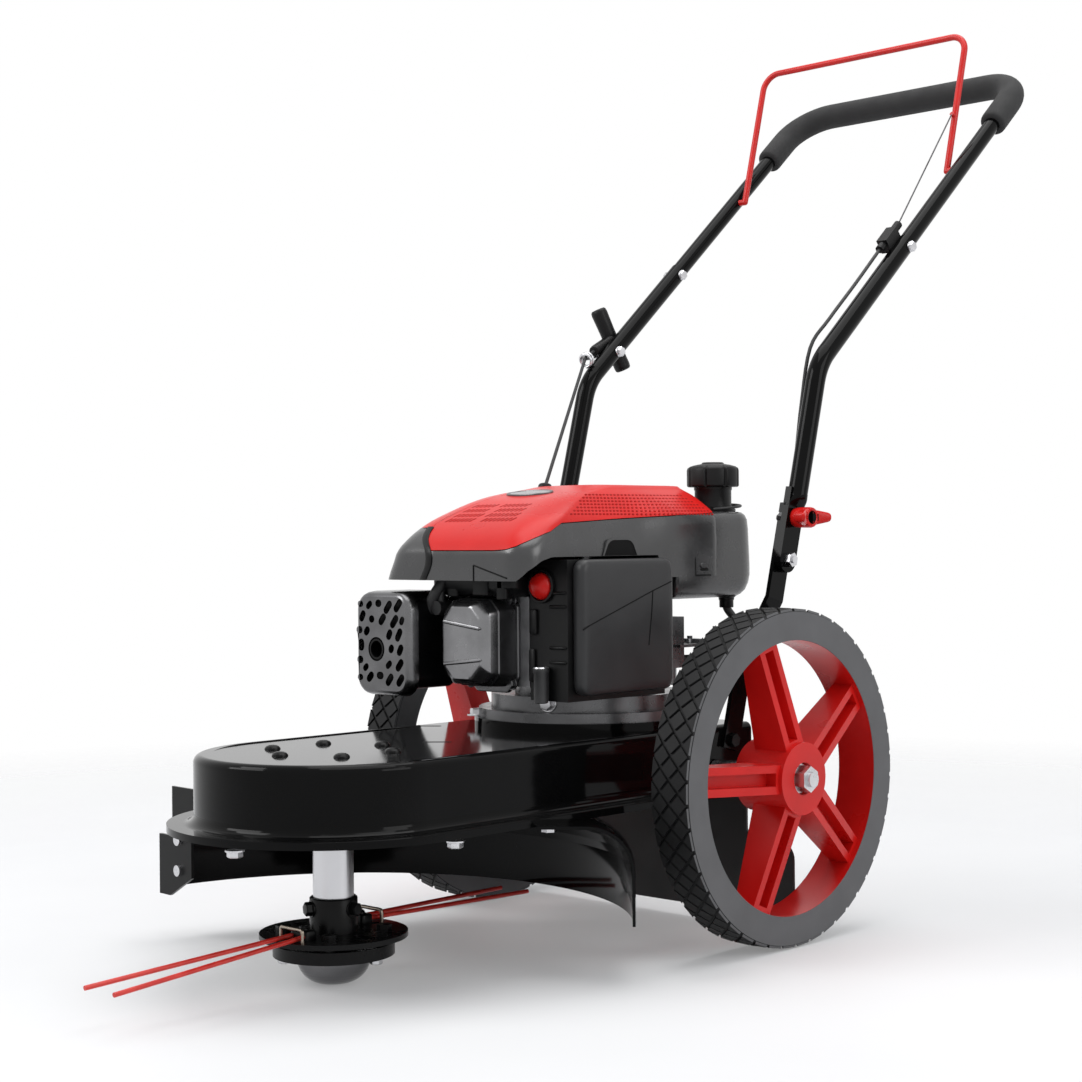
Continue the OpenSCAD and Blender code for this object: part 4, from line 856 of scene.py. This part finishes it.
def make_shield():
    wide, high, corner, face, edge = 86.0, 112.0, 20.0, 154.0, 6
    mid, outlet, outlet_r = (-100.0, 320.0), (-108.8, 314.0), 13
    outline = [(mid[0] + x, mid[1] + z)
               for x, z in rounded_outline(wide - 2 * edge, high - 2 * edge, corner - edge, 6)]
    holes = [[(outlet[0] + outlet_r * cos(a), outlet[1] + outlet_r * sin(a)) for a in turns(24)]]
    slots = [(-34, 42, 8, 6, 0), (-20, 41, 10, 6, 40), (-5, 43, 9, 7, 0), (10, 39, 15, 7, 50),
             (26, 41, 15, 7, 50), (-31, 29, 12, 7, 60), (-16, 26, 8, 7, 0), (1, 26, 13, 7, 50),
             (20, 24, 15, 7, 50), (32, 25, 9, 6, 60), (-36, 14, 9, 7, 0), (-24, 13, 10, 7, 50),
             (12, 10, 11, 7, 60), (27, 10, 14, 7, 60), (-33, -2, 12, 8, 90), (15, -5, 9, 7, 60),
             (29, -6, 12, 7, 60), (-35, -18, 9, 7, 0), (-26, -26, 9, 6, 40), (11, -22, 10, 6, 40),
             (28, -22, 14, 7, 50), (-35, -37, 8, 6, 0), (-19, -36, 12, 7, 45), (-3, -34, 10, 7, 0),
             (12, -38, 14, 7, 50), (29, -38, 14, 7, 50)]
    for x, z, length, width, turn in slots:
        c, s = cos(radians(turn)), sin(radians(turn))
        slot = capsule(length * 1.12, width * 1.16, 5)
        holes.append([(mid[0] + x + u * c - v * s, mid[1] + z + u * s + v * c) for u, v in slot])
    front = plate(outline, holes, 2.0, lambda x, z, d: Vector((x, face + d, z)))
    levels = ((face, edge), (154.8, 4), (157, 2.2), (161, 0.8), (168, 0), (214, 0), (214, 2), (168, 2),
              (162, 2.8), (158.4, 4.2), (156.4, edge))
    verts, faces = loft([ring_y(rounded_outline(wide - 2 * d, high - 2 * d, corner - d, 6), y, mid)
                         for y, d in levels], caps=False)
    sides = []
    for f in faces:
        centre = sum((verts[i] for i in f), Vector()) / len(f)
        if centre.y < 176 or centre.x < mid[0] - 20 or centre.z > mid[1] + 44:
            sides.append(f)
    add_piece("pierced_shield", [front, (verts, sides)], "shield_metal", "muffler_shield")


def make_under_cowl():
    top = COWL_Z + 0.6
    forms = [block((-6, 252), (124, 118), 14, 5, ((371, 16), (374, 8), (380, 0), (top, 0)))]
    for x, y, w, h in ((-34, 200, 16, 15), (12, 196, 22, 13), (40, 199, 14, 17)):
        low = COWL_Z + 1 - h
        forms.append(block((x, y), (w, 12), 3, 3, ((low - 4, 2), (low - 3, 0), (top, 0))))
    forms.append(block((-57, 243), (20, 44), 4, 3, ((276, 3), (278, 0), (top, 0))))
    add_piece("cowl_baffle", forms, "black_plastic")
    boot = [(-46, 198, 392), (-49, 194, 383), (-54, 191, 373), (-60, 189.5, 362), (-66, 189, 351),
            (-68.5, 189, 346), (-69, 189, 345)]
    boot_r, rim_r = list(enumerate((4.6, 6.2, 7.0, 7.2, 7.2, 6.0, 3.0))), 6.0
    path = smooth_path(boot, 4)
    radii = [line_value(boot_r, k / 4) for k in range(len(path) - 1)] + [rim_r]
    add_piece("plug_boot", [rod(path, radii, 16)], "black_rubber", angle=50)


make_valve_cover()
make_shield()
make_under_cowl()


# Air filter: cover with crease lines, front strip and primer seat
def make_filter():
    mid_y, mid_z, wide, high, front = 296.0, 339.5, 144, 139, 217.5
    rings = []
    for x, inset in ((113, 1.5), (114, 0.4), (116, 0), (122.5, 0), (125.4, 1.0), (127.2, 3.0), (128, 6.2),
                     (128.2, 12)):
        outline = rounded_outline(wide - 2 * inset, high - 2 * inset, max(12 - inset * 0.6, 4), 6)
        rings.append([Vector((x, mid_y + y, mid_z + z)) for y, z in outline])
    add_piece("formed_filter_cover", [loft(rings)], "panel_plastic", "filter_cover", 40)
    # Black lines along the cover's creases: painted shade in the folds.
    creases = [rod([(128.1, y, z) for y, z in points], 0.75, 8) for points in
               ([(224, 338), (233, 342), (332, 375), (362, 384)], [(332, 375), (330, 352), (325, 318)])]
    add_piece("filter_crease", creases, "deep_black", angle=60)
    ridge = [(88, 216.4), (90, 215.6), (108, 215.6), (111, 216.4)]
    ridges = [rod([(x, y, z) for x, y in ridge], [0.8, 1.7, 1.7, 0.8], 10) for z in (375, 361, 319, 304)]
    for x, z, w, h in ((66, 345, 10, 26), (64, 300, 8, 34)):
        ridges.append(loft([ring_y(rounded_outline(w - d, h - d, 2, 3), front - out, (x, z))
                            for out, d in ((0, 0), (3, 0), (3.7, 1.4))]))
    add_piece("filter_ridges", ridges, "black_plastic", angle=40)
    seat = [(14.8, 0), (17.6, 0), (17.6, 3.2), (17.0, 4.0), (15.4, 4.0), (14.8, 3.2)]
    add_piece("primer_seat", [spun(seat, (78, 217, 382), -ALONG, 40, True)], "black_plastic",
              angle=30)


make_filter()


# Fuel cap, wing knobs and the line clips with their wire hoops
def make_cap():
    base, lobes, sides, notch_depth = Vector((FILLER_X, FILLER_Y, 487.3)), 8, 192, 1.8
    profile = [(16.4, 0), (28, 0), (29.3, 1), (29.5, 2.5), (29.5, 19), (28.6, 21.4), (25.5, 23.4), (20, 25),
               (13, 26.2), (12, 27.6), (11, 28), (3, 28.2)]
    rings = []
    for r, z in profile:
        ring = []
        for a in turns(sides):
            edge = abs((lobes * a / (2 * pi)) % 1 - 0.5)
            notch = notch_depth * max(0.0, 1 - (edge / 0.07) ** 2) if 0.5 < z < 22 else 0.0
            ring.append(base + Vector(((r - notch) * cos(a), (r - notch) * sin(a), z)))
        rings.append(ring)
    add_piece("lobed_cap", [loft(rings)], "black_plastic", "fuel_cap", 50, body="cap")


def make_knob(name, node, side, body):
    knob_x, nut_x, wing_x, level, bolt_r = 176.3, 162.4, 188.3, 48.0, 3.9

    def place(x, y, z):
        return on_pivot((side * x, y, level + z))

    def level_place(x, y, z):
        return place(*turned((x, y, z), -LOWER_LEAN))

    def shaft(profile, sides):
        return loft([[place(x, r * cos(a), r * sin(a)) for a in turns(sides)] for r, x in profile])

    hub = [(6, 0), (9.6, 0), (10.6, 1.6), (11.2, 8), (11.4, 21), (10.6, 23.4), (8.6, 24.2), (7.3, 23.4),
           (6.8, 17), (0.4, 16.6)]
    forms = [shaft([(r, knob_x + h) for r, h in hub], 40)]
    for way in (-1, 1):
        rings = []
        for s, size in ((0, 1), (0.3, 1), (0.65, 1), (0.9, 1), (1.0, 0.94), (1.06, 0.8), (1.09, 0.5)):
            t = min(s, 1)
            outline = rounded_outline((11 + 5 * t) * size, (19 - 8.5 * t) * size, 4.6 * size, 5)
            rings.append([level_place(wing_x + 4 + 8 * t + u, way * (4 + 20 * s), v) for u, v in outline])
        forms.append(loft(rings))
    forms += [shaft([(bolt_r, nut_x - 9), (bolt_r, nut_x - 8), (bolt_r, knob_x + 1)], 24),
              shaft([(6.6, nut_x - 6), (7.5, nut_x - 5.2), (7.5, nut_x - 0.8), (6.9, nut_x)], 6)]
    axis = on_pivot((0, 0, level))

    def part(p, n):
        if abs(p.x) < knob_x:
            return 1
        # The hub's hole takes the black: painted shade in the recess.
        return 2 if hypot(p.y - axis.y, p.z - axis.z) < 7.2 and abs(p.x) > knob_x + 15 else 0

    add_piece(name, forms, "red_plastic wire_dark deep_black", node, 40, part, body)


def make_clips():
    low, height, wide, hoop_y, clip_y = 50.0, 9.0, 24.0, 60.0, 45.5
    top, half = low + height, [(16, 0), (16, 8), (15.4, 11), (13, 12)]
    arch = [(-u, h) for u, h in half] + [(0, 12)] + half[::-1]
    levels = ((low, 0), (top - 1.6, 0), (top - 0.4, 1.2), (top, 3))
    blocks, wires = [], []
    for way, mid in ((-1, 9.5), (1, -13.5)):
        blocks.append(block((mid, way * clip_y), (wide, 15), 3.6, 5, levels))
        blocks.append(hex_head((mid, way * clip_y, top - 0.4), UP, 8, 3.6, 5.2))
        wires.append(rod(smooth_path([(mid + u, way * hoop_y, low + h) for u, h in arch], 4), 1.9, 12))
    add_piece("clip_blocks", blocks, "satin_black", "line_clips", body="spindle")
    add_piece("clip_hoops", wires, "wire_bronze", "line_clips", 50, body="spindle")


# Tube bolts and the rope guide, a wire coil on a bolt through the far tube
def make_handle_fittings():
    bolt_at, guide_bolt, coil_r, wire_r = 225.0, 62.0, 8.0, 1.8
    bolts = [(side, way, bolt_at, 5, 6.4) for side in (-1, 1) for way in (1, -1)]
    bolts += [(-1, -1, guide_bolt, 6, 6.6), (-1, 1, guide_bolt, 8, 6.6)]
    forms = [hex_head(on_bend((side * (TUBE_X + way * TUBE_R), 0, z)), ACROSS * (side * way), 11, high, ring)
             for side, way, z, high, ring in bolts]
    way = (GRIP_AT - ROPE_GUIDE).normalized()
    side = way.cross(ACROSS).normalized()
    up = side.cross(way)
    coil_mid = ROPE_GUIDE + side * (coil_r - wire_r - ROPE_R - 0.3)
    wire = [coil_mid + way * (k / 48 * 11 - 5) + coil_r * (cos(k * pi / 12) * side + sin(k * pi / 12) * up)
            for k in range(43)]
    wire += [(-TUBE_X - 14, -12, 34), (-TUBE_X - 16, -3, 50), (-TUBE_X - 16, 0, guide_bolt)]
    forms.append(rod([on_bend(p) for p in wire], wire_r, 12))
    add_piece("rope_guide_and_bolts", forms, "bright_steel", "handle_fittings", 40,
              body="handle")


# Tube ends pressed flat above the wing knobs
def make_tube_ends():
    round_r, flat_x, flat_half, flat_wide, start, end = TUBE_R + 0.25, 172.0, 4.3, 14.3, 73.0, 59.0
    forms = []
    for side in (-1, 1):
        rings = []
        for k in range(-2, 15):
            f = k / 14
            t = f * f * (3 - 2 * f) if f > 0 else 0.0
            half_x, half_y = round_r + (flat_half - round_r) * t, round_r + (flat_wide - round_r) * t
            mid_x, power, ring = TUBE_X + (flat_x - TUBE_X) * t, 1 / (1 + 2 * t), []
            for a in turns(40):
                x = mid_x + half_x * copysign(abs(cos(a)) ** power, cos(a))
                y = half_y * copysign(abs(sin(a)) ** power, sin(a))
                ring.append(on_pivot((side * x, y, start + (end - start) * f)))
            rings.append(ring)
        forms.append(loft(rings))
    add_piece("flat_tube_ends", forms, "gloss_black", angle=40, body="handle")


# Clamp collar with two bolts near its top
def make_collar():
    low, high, r, bore, bolt_z = 41.0, 43.0, 23.5, 20.6, 73.5
    profile = [(bore, 0), (r - 0.8, 0), (r, 0.8), (r, high - 1.6), (r - 0.6, high - 0.6), (r - 1.4, high),
               (bore, high)]
    forms = [spun(profile, (0, 0, low), UP, 64, True)]
    for angle in (-108, 12):
        out = Vector((cos(radians(angle)), sin(radians(angle)), 0))
        forms.append(hex_head(UP * bolt_z + out * (r - 1.5), out, 12, 8, 8.4))
    add_piece("bolted_collar", forms, "satin_black", "clamp_collar", body="spindle")


# The plate bolted across the guard's open end
def make_guard_end():
    low, high, outer, inner, face, back, turn = 48.0, 113.0, 311.0, 247.0, -6.4, -2.9, radians(-4)
    outline = [(-outer, low), (21 - outer, low), (-inner, low + 23), (-inner, high), (-outer, high)]
    strap = [(-290, 111), (-161, 117), (-161, 166), (-290, 166)]

    def place(x, z, y):
        return Vector((x * cos(turn) - y * sin(turn), x * sin(turn) + y * cos(turn), z))

    forms = [plate(outline, [], back - face, lambda x, z, d: place(x, z, face + d)),
             plate(strap, [], -back, lambda x, z, d: place(x, z, back + d))]
    add_piece("guard_end_plate", forms, "satin_black", "guard_bracket", 30)


# Small fittings on the engine, the head and the deck
def make_filter_drain():
    nipple = [(5, 0), (7.4, 1), (7.4, 30), (8.6, 32), (8.6, 36), (7.6, 37.4), (3, 37.6)]
    forms = [spun(nipple, (82, 209.4, 262), UP, 32),
             loft([ring_y(rounded_outline(8, 30, 2, 3), y, (82, 280)) for y in (210, 217.4)])]
    add_piece("filter_drain", forms, "dark_plastic bright_steel",
              pick=lambda p, n: 1 if p.z > 297 else 0)


def make_bolts():
    out, head_r = Vector((0.35, -0.937, 0)), 49.3
    case = [hex_head(Vector((0, 365, 256)) + out * 104, out, 13, 9, 9.5),
            hex_head((-82, 276, 236), UP, 12, 8, 10)]
    head = [hex_head((head_r * cos(a), head_r * sin(a), 28), -UP, 11, 6, 7.5)
            for a in map(radians, (15, 78, 135, -118))]
    flange = [hex_head((x, y, 150.5), -UP, 13, 7, 9) for x, y in ((150, 22), (38, -148))]
    groups = [("case", case, "chassis"), ("head", head, "spindle"), ("flange", flange, "chassis")]
    for name, forms, body in groups:
        add_piece(name + "_bolts", forms, "bright_steel", angle=30, body=body)


def make_deck_marks():
    bead_r, bead_z, top = 116, 225.4, 226
    bead = [(bead_r * cos(a), bead_r * sin(a), bead_z)
            for a in (radians(230 - 50 * k / 12) for k in range(13))]
    bead += [(-bead_r, 20 * k, bead_z) for k in range(1, 12)]
    radii = [0.4 + 1.4 * min(k / 8, 1) for k in range(13)] + [1.8] * 10 + [0.5]
    add_piece("deck_bead", [rod(bead, radii, 12)], "gloss_black", angle=50)
    # Black slot pads on the deck top: painted shade in the recesses.
    slots = [pad(Vector((x, y, top)), UP, Vector((u, v, 0)), length, 5.5, 0.25)
             for x, y, u, v, length in ((22, 119.5, 20, 17, 30), (-108, 230, 18, 14, 26))]
    add_piece("deck_slots", slots, "deep_black", angle=40)


def soften_edges():
    """Small rounded edges on the solids' own plates and blocks."""
    names = """head_plates handle_brackets engine_plate crankcase carburettor cable_adjuster axle_hardware
               pivot_bolts guard_fasteners"""
    for name in names.split():
        edge = nodes[name].modifiers.new("soft_edges", "BEVEL")
        edge.width, edge.segments = 0.0006, 2
        edge.limit_method, edge.angle_limit = "ANGLE", radians(40)


make_cap()
make_knob("winged_knob_right", "wing_knob_right", 1, "knob_right")
make_knob("winged_knob_left", "wing_knob_left", -1, "knob_left")
make_clips()
make_handle_fittings()
make_tube_ends()
make_collar()
make_guard_end()
make_filter_drain()
make_bolts()
make_deck_marks()
soften_edges()


# Studio
def make_floor():
    radius = 2.6
    mesh = bpy.data.meshes.new("floor")
    form = bmesh.new()
    bmesh.ops.create_circle(form, cap_ends=True, segments=96, radius=radius)
    form.to_mesh(mesh)
    form.free()
    floor = add_object("floor", mesh)
    floor.location = (0, 0.3, -0.0004)
    material, tree, shader = new_material("floor_paper")
    paper_white = ramp(tree, object_noise(tree, 3.0), (0.86,) * 3, (0.89,) * 3)
    feed(tree, shader, {"Base Color": paper_white, "Roughness": 0.55, "Specular IOR Level": 0.2})
    coords = add_node(tree, "TexCoord").outputs["Object"]
    mapping = add_node(tree, "Mapping", {"Vector": coords, "Scale": (1 / radius, 1 / radius, 1)})
    fade = add_node(tree, "TexGradient", {"Vector": mapping.outputs["Vector"]})
    fade.gradient_type = "SPHERICAL"
    edge = ramp(tree, fade.outputs["Fac"], (0,) * 3, (0.78,) * 3, 0.15, 0.62)
    mix_into(tree, "Material Output", edge, add_node(tree, "BsdfTransparent"), shader)
    mesh.materials.append(material)


def make_lamp(name, place, aim, size, power):
    data = bpy.data.lights.new(name, "AREA")
    data.shape = "RECTANGLE"
    data.size, data.size_y = size
    data.energy = power
    lamp = add_object(name, data)
    lamp.location = place
    lamp.rotation_euler = (Vector(aim) - Vector(place)).to_track_quat("-Z", "Y").to_euler()


def make_world():
    """Soft grey light on the object, with white where the camera or a glossy face sees the surroundings."""
    world = bpy.data.worlds.new("studio")
    world.use_nodes = True
    scene.world = world
    tree = world.node_tree
    light = tree.nodes["Background"]
    feed(tree, light, {"Color": (0.9, 0.93, 1.0, 1), "Strength": 0.42})
    white = add_node(tree, "Background", {"Color": (1, 1, 1, 1), "Strength": 1.0})
    rays = add_node(tree, "LightPath").outputs
    seen = rays["Is Camera Ray"]
    for name in ("Is Glossy Ray", "Is Transmission Ray"):
        either = add_node(tree, "Math", {0: seen, 1: rays[name]})
        either.operation = "MAXIMUM"
        seen = either.outputs["Value"]
    mix_into(tree, "World Output", seen, light, white)


make_floor()
make_world()
make_lamp("key", (-1.6, -2.2, 2.6), (0, 0.2, 0.4), (1.8, 1.8), 62)
make_lamp("top", (0.2, 0.6, 3.0), (0, 0.3, 0.3), (2.6, 2.2), 48)
make_lamp("side", (2.8, 0.8, 1.6), (0, 0.4, 0.4), (1.4, 1.8), 24)
scene.view_settings.view_transform = "Standard"
